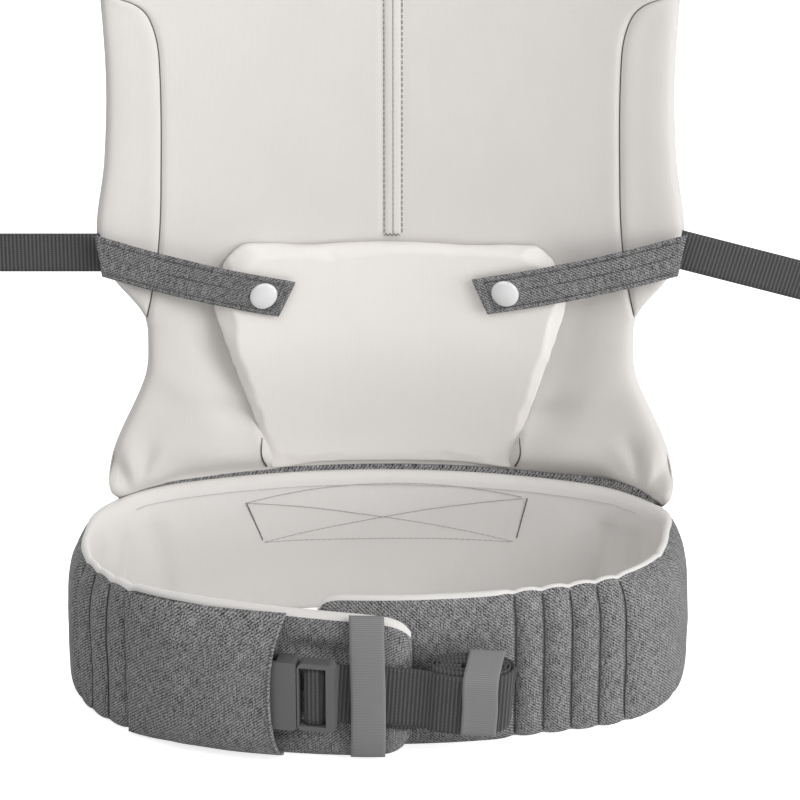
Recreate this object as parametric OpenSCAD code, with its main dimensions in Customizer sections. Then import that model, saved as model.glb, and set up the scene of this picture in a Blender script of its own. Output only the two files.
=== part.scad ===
// Soft baby carrier: a padded waist belt closed in front by a side-release buckle,
// a padded back panel with a fold-down infant insert, shoulder loops and a head support.
// Frame: +X to the wearer's left-hand side of the open belt, -Y towards the wearer's back,
// +Z up. The origin is under the panel's middle, in the belt's back wall, at its lower edge.

/* [Waist belt] */
// Height of the belt
belt_h = 98; // [92:1:104]
// Wall thickness, outer fabric to lining
belt_t = 13; // [12:0.5:14]
// Plan radius of the flat back and front stretches
flat_r = 390; // [380:5:400]
// Plan radius of the right-hand side bend
right_r = 86; // [84:1:88]
// Clearance between the two lapped belt ends
lap_gap = 2; // [1.5:0.5:3]
// How far the front (left) belt end passes the middle
left_lap = 19; // [16:1:22]
// How far the rear (right) belt end passes the middle
right_lap = 39; // [34:1:44]
// Width of one quilted channel
channel_w = 18; // [16:0.5:20]

/* [Panel] */
// Height of the panel's top edge above the floor
panel_top = 445; // [440:1:450]
// Plan radius of the panel's outer face
panel_r = 540; // [530:5:550]
// Thickness of the padded panel
panel_t = 12; // [11:0.5:13]

/* [Infant insert] */
// Thickness of the insert
insert_t = 10.4; // [9:0.2:10.6]
// Height of the insert's top edge
insert_top = 262; // [258:1:264]

/* [Webbing and buckles] */
// Width of the waist webbing
waist_web = 38; // [36:1:39]
// Width of the side webbing
side_web = 25; // [24:1:25]
// Thickness of all webbing
web_t = 1.5; // [1.2:0.1:1.5]
// Width of the elastic keeper
keeper_w = 21; // [18:1:22]
// Diameter of the snap caps
snap_d = 17.6; // [16:0.2:18]

/* [Shoulder loops] */
// Distance of each hanging pad from the middle
pad_x = 370; // [365:1:375]
// Width of a shoulder pad
pad_w = 70; // [64:1:72]
// Thickness of a shoulder pad
pad_t = 15; // [13:1:15]
// Downward slope of the right side webbing
right_slope = 15; // [12:0.1:16]

/* [Hidden] */

$fn = 48;
gap = 0.1;            // clearance between sewn layers
foam_gap = 0.25;      // clearance between the belt's foam and its fabric
skin = 1.4;           // thickness of a fabric layer
block_gap = 0.4;      // clearance between foam blocks, where the stitch lines run
flat_angle = 20;      // each flat stretch turns this much either side of the middle
belt_y = belt_t / 2;  // outer face of the belt's back wall
belt_x = -6;          // the belt's middle lies this far beside the panel's middle
left_r = right_r + (belt_t + lap_gap) / (2 * cos(flat_angle));
flat_len = flat_r * flat_angle * PI / 180;
melange = "dimgray";
dark_web = "darkslategray";
light = "gainsboro";
pale = "whitesmoke";
plastic = "gray";

// ---------------------------------------------------------------- plan of the belt
function deg(t) = t * 180 / PI;
function arc_point(c, r, t) = [c[0] + r * sin(t), c[1] + r * cos(t)];
function bend_len(r) = r * (180 - 2 * flat_angle) * PI / 180;
function side_r(side) = side > 0 ? right_r : left_r;
function end_len(side) = 2 * flat_len + bend_len(side_r(side)) + (side > 0 ? right_lap : left_lap);

// Point at arc length s from the back middle, depth d in from the outer face.
function belt_point(side, s, d) =
  let (r = side_r(side),
       c_back = [0, belt_y - flat_r],
       c_bend = arc_point(c_back, flat_r - r, flat_angle),
       c_front = arc_point(c_bend, r - flat_r, 180 - flat_angle),
       s_front = flat_len + bend_len(r),
       p = s < flat_len ? arc_point(c_back, flat_r - d, deg(s / flat_r))
         : s < s_front ? arc_point(c_bend, r - d, flat_angle + deg((s - flat_len) / r))
         : arc_point(c_front, flat_r - d, 180 - flat_angle + deg((s - s_front) / flat_r)))
  [belt_x + side * p[0], p[1]];

// Arc length of the front stretch's face at x.
function front_s(side, x) =
  end_len(side) - (side > 0 ? right_lap : left_lap) - side * (x - belt_x);

function run(side, s0, s1, d, n) = [for (i = [0:n]) belt_point(side, s0 + (s1 - s0) * i / n, d)];
function reversed(list) = [for (i = [len(list) - 1:-1:0]) list[i]];
function corner(c, r, a0, a1, n = 8) =
  [for (i = [0:n]) c + r * [cos(a0 + (a1 - a0) * i / n), sin(a0 + (a1 - a0) * i / n)]];

// Wall of the belt on one side only.
module belt_block(side, s0, s1, d0, d1, z0, z1) {
  n = max(2, ceil((s1 - s0) / 9));
  translate([0, 0, z0])
    linear_extrude(z1 - z0)
      polygon(concat(run(side, s0, s1, d0, n), reversed(run(side, s0, s1, d1, n))));
}

// Layer that runs round the whole belt from the left end to the right end.
function whole_run(d, left_end, right_end) =
  concat(reversed(run(-1, 0, left_end, d, 56)), [for (i = [1:56]) belt_point(1, right_end * i / 56, d)]);

module belt_layer(d0, d1) {
  difference() {
    linear_extrude(belt_h)
      polygon(concat(whole_run(d0, end_len(-1), end_len(1)),
                     reversed(whole_run(d1, end_len(-1), end_len(1)))));
    left_tip_cut();
    right_tip_cut();
  }
}

// Face of the front stretch: y of the outer surface at x.
function front_y(side, x) =
  let (p = belt_point(side, front_s(side, belt_x), 0))
  p[1] + flat_r - sqrt(flat_r * flat_r - pow(x - belt_x, 2));

// Prism along Y through an XZ outline, from y_back towards -Y.
module along_y(y_back, depth) {
  translate([0, y_back, 0])
    rotate([90, 0, 0])
      linear_extrude(depth)
        children();
}

tip_r = 15;
tip_drop = 9;
module left_tip_cut() {
  x = belt_x + left_lap + 0.4;
  along_y(front_y(1, 0) - gap * 4, 40)
    difference() {
      translate([-50, -1])
        square([70, belt_h + 2]);
      polygon(concat([[-52, -2], [x - tip_r, -2]],
                     corner([x - tip_r, tip_r], tip_r, -90, 0),
                     corner([x - tip_r, belt_h - tip_drop - tip_r], tip_r, 0, 80),
                     [[-48, belt_h - 0.5], [-48, belt_h + 3], [-52, belt_h + 3]]));
    }
}

module right_tip_cut() {
  x = belt_x - right_lap - 0.4;
  along_y(front_y(1, 0) + belt_t + 3, belt_t + 4)
    difference() {
      translate([x - 4, -1])
        square([4 + tip_r, belt_h + 2]);
      polygon(concat([[x + tip_r + 1, -2], [x + tip_r, -2]],
                     corner([x + tip_r, tip_r], tip_r, 270, 180),
                     corner([x + tip_r, belt_h - tip_r], tip_r, 180, 90),
                     [[x + tip_r, belt_h + 2], [x + tip_r + 1, belt_h + 2]]));
    }
}

// ---------------------------------------------------------------- belt pieces
module belt_outer_fabric() {
  color(melange) belt_layer(0, skin);
}

module belt_lining() {
  color(light) belt_layer(belt_t - skin, belt_t);
}

// Stitch lines that divide the foam, as arc lengths from the back middle.
first_seam_right = front_s(1, 77.5);
first_seam_left = front_s(-1, -168);
right_seams = concat([0, 136, 207, 277],
                     [for (i = [4:-1:0]) first_seam_right - i * channel_w],
                     [end_len(1) - 1]);
left_seams = concat([0, 136, 187, 239],
                    [for (i = [3:-1:0]) first_seam_left - i * channel_w],
                    [first_seam_left + 85, end_len(-1) - 1]);

module foam_row(side, seams) {
  for (i = [0:len(seams) - 2])
    belt_block(side, seams[i] + block_gap / 2, seams[i + 1] - block_gap / 2,
               skin + foam_gap, belt_t - skin - gap, 0, belt_h);
}

module belt_foam() {
  color("khaki")
    difference() {
      union() {
        foam_row(1, right_seams);
        foam_row(-1, left_seams);
      }
      left_tip_cut();
      right_tip_cut();
    }
}

piping_reach = 190;
module belt_piping() {
  color(dark_web)
    translate([0, 0, belt_h + gap])
      linear_extrude(1.2)
        polygon(concat(reversed(run(-1, 0, piping_reach, 5.5, 24)),
                       [for (i = [1:24]) belt_point(1, piping_reach * i / 24, 5.5)],
                       reversed(run(1, 0, piping_reach, 7.5, 24)),
                       [for (i = [1:24]) belt_point(-1, piping_reach * i / 24, 7.5)]));
}

// ---------------------------------------------------------------- side-release buckle
// Local frame: x along the strap, mouth of the socket at x = 0 with the socket on -x,
// y through the thickness, z across the strap. w is the webbing width.
function half_frame(w) = w / 2 + 3.5;
function socket_len(w) = w;
function socket_t(w) = 0.34 * w;
function prong_len(w) = 0.55 * w;
function plug_len(w) = 7.6 + 0.42 * w;
prong_root = -3.2;    // where the two arms spring from the plug's crossbar
prong_w = 5;

// Plate in the strap's plane with rounded corners, centred on y = 0.
module plate(x0, x1, half, t, r) {
  rotate([90, 0, 0])
    translate([0, 0, -t / 2])
      linear_extrude(t)
        polygon(concat(corner([x0 + r, half - r], r, 180, 90), corner([x1 - r, half - r], r, 90, 0),
                       corner([x1 - r, r - half], r, 0, -90), corner([x0 + r, r - half], r, -90, -180)));
}

module buckle_socket(w) {
  len = socket_len(w);
  t = socket_t(w);
  difference() {
    plate(-len, 0, half_frame(w), t, 2.5);
    translate([-len + 9, -t / 2 + 2, -w / 2])
      cube([len, t - 4, w]);
    for (side = [-1, 1])
      translate([-0.62 * len, -t / 2 + 2, side > 0 ? w / 2 - 1 : -w / 2 - 5])
        cube([0.3 * len, t - 4, 6]);
    translate([-len + 2.5, -t, -w / 2])
      cube([3, 2 * t, w]);
  }
}

// The plug's open frame stands step in front of the socket's middle plane.
module buckle_plug(w, step = 0) {
  len = plug_len(w);
  t = 0.24 * w;
  thin = socket_t(w) - 5;
  translate([0, -step, 0]) {
    difference() {
      plate(0.5, len, half_frame(w), t, 0.11 * w);
      translate([window_x, -t, -w / 2 - 0.3])
        cube([len - window_x - end_bar, 2 * t, w + 0.6]);
    }
    translate([bar_x(w), 0, -w / 2 - 1])
      linear_extrude(w + 2)
        stadium(bar_flat * w, 0.035 * w);
  }
  translate([-2.5, -thin / 2, -w / 2 + 1])
    cube([3.4, thin, w - 2]);
  translate([-prong_len(w), -thin / 2, -2.5])
    cube([prong_len(w), thin, 5]);
}

bar_flat = 0.13;                     // flat part of the crossbar, per mm of webbing
window_x = 1.6;                      // where the plug's window starts
end_bar = 5.4;                       // bar beyond the window
function bar_x(w) = (window_x + plug_len(w) - end_bar) / 2;

// Round-ended slot shape: straight length l, end radius r.
module stadium(l, r) {
  square([l, 2 * r], center = true);
  for (side = [-1, 1])
    translate([side * l / 2, 0])
      circle(r);
}

// Webbing wrapped round the plug's crossbar.
module bar_wrap(w) {
  translate([bar_x(w), 0, -w / 2])
    linear_extrude(w)
      difference() {
        stadium(bar_flat * w, 0.035 * w + 0.15 + web_t);
        stadium(bar_flat * w, 0.035 * w + 0.15);
      }
}

module buckle_prong(w, side) {
  t = socket_t(w) - 5.4;
  outer = w / 2 - 0.6;
  translate([-prong_len(w), -t / 2, side > 0 ? outer - prong_w : -outer])
    cube([prong_len(w) + prong_root, t, prong_w]);
}

// ---------------------------------------------------------------- waist buckle and webbing
waist_z = 47.7;                      // middle height of the waist webbing
buckle_x = -54;                      // mouth of the waist socket
buckle_turn = 10;                    // the buckle lies along the belt's curve
buckle_off = 8;                      // buckle's middle plane in front of the belt
plug_step = 1.2;
tangent_x = -74;                     // where that plane is parallel to the belt's face
buckle_y = front_y(-1, tangent_x) - (buckle_x - tangent_x) * tan(buckle_turn);
anchor_slope = 7;
tail_slope = 3.5;

module at_waist_buckle(off = buckle_off) {
  translate([buckle_x, buckle_y, waist_z])
    rotate([0, 0, -buckle_turn])
      translate([0, -off, 0])
        children();
}

module waist_socket() {
  color(plastic) at_waist_buckle() buckle_socket(waist_web);
}

module waist_plug() {
  color(plastic) at_waist_buckle() buckle_plug(waist_web, plug_step);
}

module waist_prong_upper() {
  color(plastic) at_waist_buckle() buckle_prong(waist_web, 1);
}

module waist_prong_lower() {
  color(plastic) at_waist_buckle() buckle_prong(waist_web, -1);
}

// Flat ribbon seen edge-on in plan, along a line of points.
module ribbon(points, t) {
  for (i = [0:len(points) - 2]) {
    a = points[i];
    b = points[i + 1];
    translate(a)
      rotate(atan2(b[1] - a[1], b[0] - a[0]))
        translate([0, -t / 2])
          square([norm(b - a), t]);
  }
  for (i = [1:1:len(points) - 2])
    translate(points[i])
      circle(t / 2);
}

// Turns a band of the waist webbing down to the right about the buckle.
module sloped(angle) {
  translate([buckle_x, 0, waist_z])
    rotate([0, angle, 0])
      translate([-buckle_x, 0, -waist_web / 2])
        linear_extrude(waist_web)
          children();
}

lap_face = front_y(-1, 0);           // outer face of the lapped front end
anchor_end = [75.5, front_y(1, 75.5) - web_t];
module waist_webbing() {
  color(dark_web) {
    sloped(anchor_slope)
      ribbon([anchor_end, [belt_x + left_lap + 1.5, lap_face - 1.3], [-36, lap_face - 1.1]], web_t);
    at_waist_buckle(buckle_off + plug_step) bar_wrap(waist_web);
  }
}

roll_c = [48, lap_face - 3.2];
roll_a = 25.2;                       // half length of the rolled end
roll_b = 9.4;                        // half thickness of the rolled end
roll_turns = 3.25;
roll_pitch = 2.2;
function roll_run(inset) =
  [for (i = [0:84])
    let (t = 215 + i / 84 * roll_turns * 360, k = inset + roll_pitch * i / 84 * roll_turns)
    roll_c + [(roll_a - k) * cos(t), (roll_b - k) * sin(t)]];

module waist_webbing_tail() {
  start = roll_c + [(roll_a - web_t / 2) * cos(215), (roll_b - web_t / 2) * sin(215)];
  color(dark_web)
    sloped(tail_slope) {
      ribbon([[-37.5, lap_face - 3.1], [belt_x + left_lap + 2, lap_face - 3.3], start], web_t);
      polygon(concat(roll_run(0), reversed(roll_run(web_t))));
    }
}

module roll_keeper() {
  y_front = roll_c[1] - roll_b - 0.5;
  depth = 2 * roll_b + 1;
  half = waist_web / 2 + 1;
  color("slategray")
    translate([buckle_x, 0, waist_z])
      rotate([0, tail_slope, 0])
        translate([43 - buckle_x, 0, 0])
          difference() {
            translate([0, y_front - 1.2, -half - 1.2])
              cube([22, depth + 2.4, 2 * half + 2.4]);
            translate([-1, y_front, -half])
              cube([24, depth, 2 * half]);
          }
}

// Elastic keeper: sewn at the belt's edges and standing off over the webbing.
module waist_keeper() {
  face = lap_face - 0.3;
  stand = 7;
  color("slategray")
    translate([-3 - keeper_w, 0, 0])
      rotate([90, 0, 90])
        linear_extrude(keeper_w)
          polygon([[face, belt_h - 1], [face - 1.3, belt_h - 1], [face - stand, 76], [face - stand, 16],
                   [face - 1.3, 1], [face, 1], [face - stand + 1.3, 17], [face - stand + 1.3, 75]]);
}

// Pocket that covers the socket: sewn along the left seam, open towards the middle.
module buckle_pocket() {
  seam = belt_point(-1, first_seam_left + 2, -0.3);
  far = [-121, front_y(-1, -121) - 20.5];
  mouth = [-66, front_y(-1, -66) - 17.5];
  color(melange)
    translate([0, 0, 1])
      linear_extrude(belt_h - 2)
        ribbon([seam + [0, -0.8], seam + [8, -14], far, mouth], skin);
}

module socket_anchor_webbing() {
  s_end = front_s(-1, -86);
  color(dark_web)
    belt_block(-1, first_seam_left + 7, s_end, -0.2 - web_t, -0.2, waist_z - waist_web / 2 + 1,
               waist_z + waist_web / 2 - 1);
}

// ---------------------------------------------------------------- panel
panel_z = belt_h + 1.5;
shell_y = belt_y - panel_r;          // centre of the panel's plan curve

function ease(t) = (1 - cos(180 * t)) / 2;
// Smooth value at z through a short list of [z, value] stations.
function through(list, z, i = 0) =
  z <= list[i + 1][0] || i == len(list) - 2
    ? list[i][1] + (list[i + 1][1] - list[i][1]) * ease((z - list[i][0]) / (list[i + 1][0] - list[i][0]))
    : through(list, z, i + 1);

pinch_z = 196;                       // narrow waist of the panel
wing_z = [213, 434];                 // lowest and highest point of the lining's side wings
root_z = 261.3;                      // middle of the side webbing's root
panel_sides = [[panel_z, 178.5], [111, 181.5], [pinch_z, 155], [272, 184.5], [320, 178.5], [365, 176],
               [panel_top, 178.5]];
wing_seam = [[wing_z[0], 155.4], [262, 146.5], [398, 144], [wing_z[1], 178]];
insert_sides = [[panel_z + 2, 72], [222, 109.5], [insert_top, 96]];

function rows(z0, z1, n) = [for (i = [0:n]) z0 + (z1 - z0) * i / n];
module panel_outline() {
  z = rows(panel_z, panel_top, 44);
  polygon(concat([for (h = z) [through(panel_sides, h), h]],
                 [for (h = reversed(z)) [-through(panel_sides, h), h]]));
}

// Side wing of the lining; grow moves its seam edge towards the middle.
module wing(side, grow) {
  z = rows(wing_z[0] + 2, wing_z[1] - 2, 28);
  polygon(concat([for (h = z) side * [through(wing_seam, h) - grow, 0] + [0, h]],
                 [for (h = reversed(z)) side * [through(panel_sides, h) + grow, 0] + [0, h]]));
}

// Curved shell between two depths behind the panel's outer face, cut to an XZ outline.
module shell(d0, d1) {
  intersection() {
    translate([0, shell_y, 0])
      difference() {
        cylinder(r = panel_r - d0, h = 620, $fn = 360);
        translate([0, 0, -1])
          cylinder(r = panel_r - d1, h = 622, $fn = 360);
      }
    along_y(20, 90) children();
  }
}

module panel_outer_fabric() {
  color(melange) shell(0, skin) panel_outline();
}

module panel_foam() {
  color("khaki")
    shell(skin + gap, panel_t - skin - gap) {
      difference() {
        panel_outline();
        translate([-block_gap / 2, 0])
          square([block_gap, 600]);
        for (side = [-1, 1])
          translate([side * 149 - block_gap / 2, 0])
            square([block_gap, 600]);
        translate([-200, pinch_z])
          square([400, block_gap]);
        translate([-200, 320])
          square([400, block_gap]);
      }
    }
}

module panel_lining_centre() {
  color(pale)
    shell(panel_t - skin, panel_t)
      difference() {
        panel_outline();
        wing(-1, 0.2);
        wing(1, 0.2);
      }
}

module panel_lining_left() {
  color(pale) shell(panel_t - skin, panel_t) wing(-1, 0);
}

module panel_lining_right() {
  color(pale) shell(panel_t - skin, panel_t) wing(1, 0);
}

// Reinforcing tape under the middle seam of the lining.
module centre_seam_tape() {
  color(light)
    shell(panel_t + gap, panel_t + 0.7)
      translate([-4.4, insert_top + 2.5])
        square([12, panel_top - insert_top - 4]);
}

// ---------------------------------------------------------------- infant insert
insert_back = panel_t + 0.8;         // depth of the insert's rear face
module insert_outline() {
  z = rows(insert_sides[0][0], insert_top - 14, 24);
  w = through(insert_sides, insert_top - 14);
  polygon(concat([for (h = z) [through(insert_sides, h), h]],
                 corner([w - 14, insert_top - 14], 14, 0, 90),
                 corner([14 - w, insert_top - 14], 14, 90, 180),
                 [for (h = reversed(z)) [-through(insert_sides, h), h]]));
}

module insert_cover_front() {
  color(pale) shell(insert_back + insert_t - skin, insert_back + insert_t) insert_outline();
}

module insert_cover_back() {
  color(light) shell(insert_back, insert_back + skin) insert_outline();
}

module insert_foam() {
  color("khaki")
    shell(insert_back + skin + gap, insert_back + insert_t - skin - gap) insert_outline();
}

// ---------------------------------------------------------------- snap tabs
tab_root = [187, shell_y + sqrt(pow(panel_r - panel_t, 2) - 187 * 187) - 3, root_z + 2.5];
tab_yaw = 8.7;
tab_t = 2;
tab_half = 12.5;
snap_x = [80.8, 72.9];               // left and right snap, distance from the middle
tab_end = [64, 54.9];                // left and right tab end, distance from the middle
tab_slope = [17.4, 15.8];

// Local tab frame for one side (0 left, 1 right): -x runs along the tab to its free end.
module at_tab(i) {
  mirror([1 - i, 0, 0])
    translate(tab_root)
      rotate([0, -tab_slope[i], -tab_yaw])
        children();
}

function along_tab(i, x) = (tab_root[0] - x) / cos(tab_slope[i]) / cos(tab_yaw);

module tab(i) {
  reach = along_tab(i, tab_end[i]);
  color(melange)
    at_tab(i)
      difference() {
        rotate([90, 0, 0])
          translate([0, 0, -tab_t / 2])
            linear_extrude(tab_t)
              polygon([[1, tab_half], [1, -tab_half], [4 - reach, -tab_half], [-reach, tab_half]]);
        translate([-along_tab(i, snap_x[i]), 5, 0])
          rotate([90, 0, 0])
            cylinder(r = 2.3, h = 10);
      }
}

module tab_left() {
  tab(0);
}

module tab_right() {
  tab(1);
}

// Domed cap with a post through the tab and a socket ring behind it.
module snap_cap(i) {
  dome_r = 22;
  color("white")
    at_tab(i)
      translate([-along_tab(i, snap_x[i]), 0, 0])
        rotate([90, 0, 0]) {
          translate([0, 0, tab_t / 2 + gap])
            intersection() {
              cylinder(r = snap_d / 2, h = 2.6);
              translate([0, 0, 2.6 - dome_r])
                sphere(r = dome_r, $fn = 96);
            }
          translate([0, 0, -tab_t / 2 - gap])
            cylinder(r = 2, h = tab_t + 2 * gap + 0.5);
          translate([0, 0, -tab_t / 2 - gap - 1.1])
            difference() {
              cylinder(r = 6, h = 1.1);
              translate([0, 0, -1])
                cylinder(r = 3.7, h = 1.6);
            }
        }
}

module snap_cap_left() {
  snap_cap(0);
}

module snap_cap_right() {
  snap_cap(1);
}

// Stud on the insert under each snap, set square to the tab.
module insert_snap_studs() {
  face = insert_back + insert_t;
  color("silver")
    for (i = [0, 1])
      difference() {
        at_tab(i)
          translate([-along_tab(i, snap_x[i]), 0, 0])
            rotate([-90, 0, 0])
              translate([0, 0, tab_t / 2 + gap + 0.75])
                cylinder(r = 3.2, h = 8);
        translate([0, shell_y, 0])
          difference() {
            cylinder(r = panel_r, h = 400, $fn = 360);
            translate([0, 0, -1])
              cylinder(r = panel_r - face - gap, h = 402, $fn = 360);
          }
      }
}

// ---------------------------------------------------------------- head support
head_half = 95;
head_z = panel_top + 2;
head_top = 560;
module head_outline() {
  r = 30;
  polygon(concat(corner([head_half - r, head_top - r], r, 0, 90), corner([r - head_half, head_top - r], r, 90, 180),
                 [[-head_half, head_z], [head_half, head_z]]));
}

module head_support_cover() {
  color(melange) shell(0, skin) head_outline();
}

module head_support_foam() {
  color("khaki") shell(skin + gap, panel_t - skin - gap) head_outline();
}

module head_support_lining() {
  color(pale) shell(panel_t - skin, panel_t) head_outline();
}

// ---------------------------------------------------------------- shoulder loops
loop_y = -33.5;                      // middle plane of both loops
pad_root_x = 140;
pad_root_z = panel_top + 2;
pad_bend_z = 460;                    // height of the bend's centre
bend_r = (pad_x - pad_root_x) / 2;
bend_x = (pad_x + pad_root_x) / 2;
pad_end_z = 418;
mouth_z = 374;                       // mouth of the side socket
web_top_z = mouth_z - plug_len(side_web) - 0.3;

module pad_outline() {
  out = bend_r + pad_w / 2;
  in = bend_r - pad_w / 2;
  tip = 16;
  c = [bend_x, pad_bend_z];
  polygon(concat([[pad_x - pad_w / 2 + tip, pad_end_z], [pad_x + pad_w / 2 - tip, pad_end_z]],
                 [[pad_x + pad_w / 2, pad_end_z + tip]],
                 corner(c, out, 0, 180, 36),
                 [[bend_x - out, pad_root_z], [bend_x - in, pad_root_z]],
                 corner(c, in, 180, 0, 36),
                 [[pad_x - pad_w / 2, pad_end_z + tip]]));
}

// One flat layer of a pad, between two distances behind its front face.
module pad_layer(d0, d1) {
  along_y(loop_y - pad_t / 2 + d1, d1 - d0) children();
}

// Stitch lines across the pad, that part the foam into blocks.
module pad_stitches() {
  translate([bend_x, pad_bend_z])
    for (a = [0, 36, 72, 108, 144, 180])
      rotate(a)
        translate([0, -block_gap / 2])
          square([bend_r + pad_w, block_gap]);
}

module pad_cover() {
  color(melange) pad_layer(pad_t - skin, pad_t) pad_outline();
}

module pad_lining() {
  color(light) pad_layer(0, skin) pad_outline();
}

module pad_foam() {
  color("khaki")
    pad_layer(skin + gap, pad_t - skin - gap)
      difference() {
        pad_outline();
        pad_stitches();
      }
}

module at_side_buckle() {
  translate([pad_x, loop_y, mouth_z])
    rotate([0, 90, 0])
      children();
}

module side_socket() {
  color(plastic) at_side_buckle() buckle_socket(side_web);
}

module side_plug() {
  color(plastic) at_side_buckle() buckle_plug(side_web);
}

module side_prong(side) {
  color(plastic) at_side_buckle() buckle_prong(side_web, side);
}

// Webbing from the panel's edge: flat, a quarter twist, an edge-on bend, a second
// quarter twist and a flat rise to the plug.
twist_len = 26;
module side_webbing(slope, web_r) {
  start_x = 190;
  joint = 0.2;
  flat = (pad_x - start_x - web_r * (1 + sin(slope))) / cos(slope) - twist_len;
  rise_z = root_z - (flat + twist_len) * sin(slope) + web_r * cos(slope);
  color(dark_web) {
    translate([start_x, loop_y, root_z])
      rotate([0, slope, 0]) {
        translate([0, -web_t / 2, -side_web / 2])
          cube([flat - joint, web_t, side_web]);
        translate([flat, 0, 0])
          rotate([0, 90, 0])
            linear_extrude(twist_len - joint, twist = 90, slices = 8, $fn = 4)
              square([side_web, web_t], center = true);
        translate([flat + twist_len, 0, web_r])
          rotate([90, 0, 0])
            rotate([0, 0, -90])
              rotate_extrude(angle = 90 + slope - 0.1, $fn = 96)
                translate([web_r - web_t / 2, -side_web / 2])
                  square([web_t, side_web]);
      }
    translate([pad_x, loop_y, rise_z + joint])
      rotate([0, 0, 90])
        linear_extrude(twist_len - joint, twist = 90, slices = 8, $fn = 4)
          square([side_web, web_t], center = true);
    translate([pad_x - side_web / 2, loop_y - web_t / 2, rise_z + twist_len + joint])
      cube([side_web, web_t, web_top_z - rise_z - twist_len - joint]);
    at_side_buckle() bar_wrap(side_web);
  }
}

// Short strap that holds the socket to the pad.
module pad_webbing() {
  color(dark_web)
    translate([pad_x - side_web / 2 + 1, loop_y + socket_t(side_web) / 2 + 0.3, mouth_z + socket_len(side_web) - 9])
      cube([side_web - 2, web_t - 0.3, pad_end_z - mouth_z - socket_len(side_web) + 8.7]);
}

// Free end of the side webbing, hanging behind its run and clear of the twists.
module webbing_tail() {
  top = mouth_z - 12;
  back = 14.5;
  color(dark_web)
    translate([pad_x - side_web / 2, loop_y, 0])
      rotate([90, 0, 90])
        linear_extrude(side_web)
          ribbon([[4.2, top], [back, top - 17], [back, mouth_z - 150]], web_t);
}

module left_side() {
  mirror([1, 0, 0]) children();
}

// ---------------------------------------------------------------- chest strap
chest_z = 445;
chest_y = loop_y + pad_t / 2 + 0.4;
chest_web = 20;

// Slider that rides on the pad's outer face.
module chest_slider() {
  color(plastic)
    translate([pad_x - 16, chest_y, chest_z - 12])
      difference() {
        cube([32, 4, 24]);
        for (x = [4, 20])
          translate([x, -1, 2])
            cube([8, 6, chest_web]);
      }
}

module chest_webbing() {
  color(dark_web)
    translate([pad_x - 88, chest_y + 1, chest_z - chest_web / 2])
      cube([71, web_t, chest_web]);
}

module left_chest_plug() {
  color(plastic)
    left_side()
      translate([pad_x - 90, chest_y + 1.6, chest_z]) {
        plate(-18, 0, chest_web / 2 + 2, 5, 2);
        for (z = [-5.5, 5.5])
          translate([-32, -1.5, z - 1.75])
            cube([15, 3, 3.5]);
      }
}

module right_chest_socket() {
  color(plastic)
    translate([pad_x - 90 - 24, chest_y + 1.6, chest_z])
      difference() {
        plate(0, 23, chest_web / 2 + 2, 7, 2);
        translate([-1, -2, -8.5])
          cube([17, 4, 17]);
      }
}

belt_outer_fabric();
belt_foam();
belt_lining();
belt_piping();
buckle_pocket();
waist_keeper();
socket_anchor_webbing();
waist_webbing();
waist_plug();
waist_socket();
waist_prong_upper();
waist_prong_lower();
waist_webbing_tail();
roll_keeper();
panel_outer_fabric();
panel_foam();
panel_lining_centre();
panel_lining_left();
panel_lining_right();
centre_seam_tape();
insert_cover_front();
insert_foam();
insert_cover_back();
insert_snap_studs();
tab_left();
tab_right();
snap_cap_left();
snap_cap_right();
head_support_cover();
head_support_foam();
head_support_lining();
left_side() pad_cover();  // left_pad_cover
left_side() pad_foam();  // left_pad_foam
left_side() pad_lining();  // left_pad_lining
left_side() side_webbing(0, 66);  // left_side_webbing
left_side() side_plug();  // left_buckle_plug
left_side() side_prong(-1);  // left_prong_inner
left_side() side_prong(1);  // left_prong_outer
left_side() side_socket();  // left_buckle_socket
left_side() pad_webbing();  // left_pad_webbing
left_side() webbing_tail();  // left_webbing_tail
pad_cover();  // right_pad_cover
pad_foam();  // right_pad_foam
pad_lining();  // right_pad_lining
side_webbing(right_slope, 60);  // right_side_webbing
side_plug();  // right_buckle_plug
side_prong(-1);  // right_prong_inner
side_prong(1);  // right_prong_outer
side_socket();  // right_buckle_socket
pad_webbing();  // right_pad_webbing
webbing_tail();  // right_webbing_tail
left_side() chest_slider();  // left_chest_slider
left_side() chest_webbing();  // left_chest_webbing
left_chest_plug();
chest_slider();  // right_chest_slider
chest_webbing();  // right_chest_webbing
right_chest_socket();
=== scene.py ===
import math
import bmesh
import bpy
import numpy as np
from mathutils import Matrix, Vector, noise


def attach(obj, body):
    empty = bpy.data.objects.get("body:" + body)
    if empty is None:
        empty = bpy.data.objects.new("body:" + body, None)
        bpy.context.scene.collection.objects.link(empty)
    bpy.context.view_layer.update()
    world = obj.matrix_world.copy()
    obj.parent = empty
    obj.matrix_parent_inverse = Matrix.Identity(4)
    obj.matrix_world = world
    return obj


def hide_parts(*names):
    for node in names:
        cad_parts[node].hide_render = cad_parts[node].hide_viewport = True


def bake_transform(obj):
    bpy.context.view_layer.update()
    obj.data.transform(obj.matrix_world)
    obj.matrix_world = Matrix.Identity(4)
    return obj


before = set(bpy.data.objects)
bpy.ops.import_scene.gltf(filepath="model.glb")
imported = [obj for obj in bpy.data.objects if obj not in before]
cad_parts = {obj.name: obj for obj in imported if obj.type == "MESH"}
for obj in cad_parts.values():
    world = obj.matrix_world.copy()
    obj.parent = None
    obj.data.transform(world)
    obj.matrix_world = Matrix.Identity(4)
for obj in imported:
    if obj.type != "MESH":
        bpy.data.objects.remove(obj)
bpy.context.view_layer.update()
scene = bpy.context.scene
MM = 0.001

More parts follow.
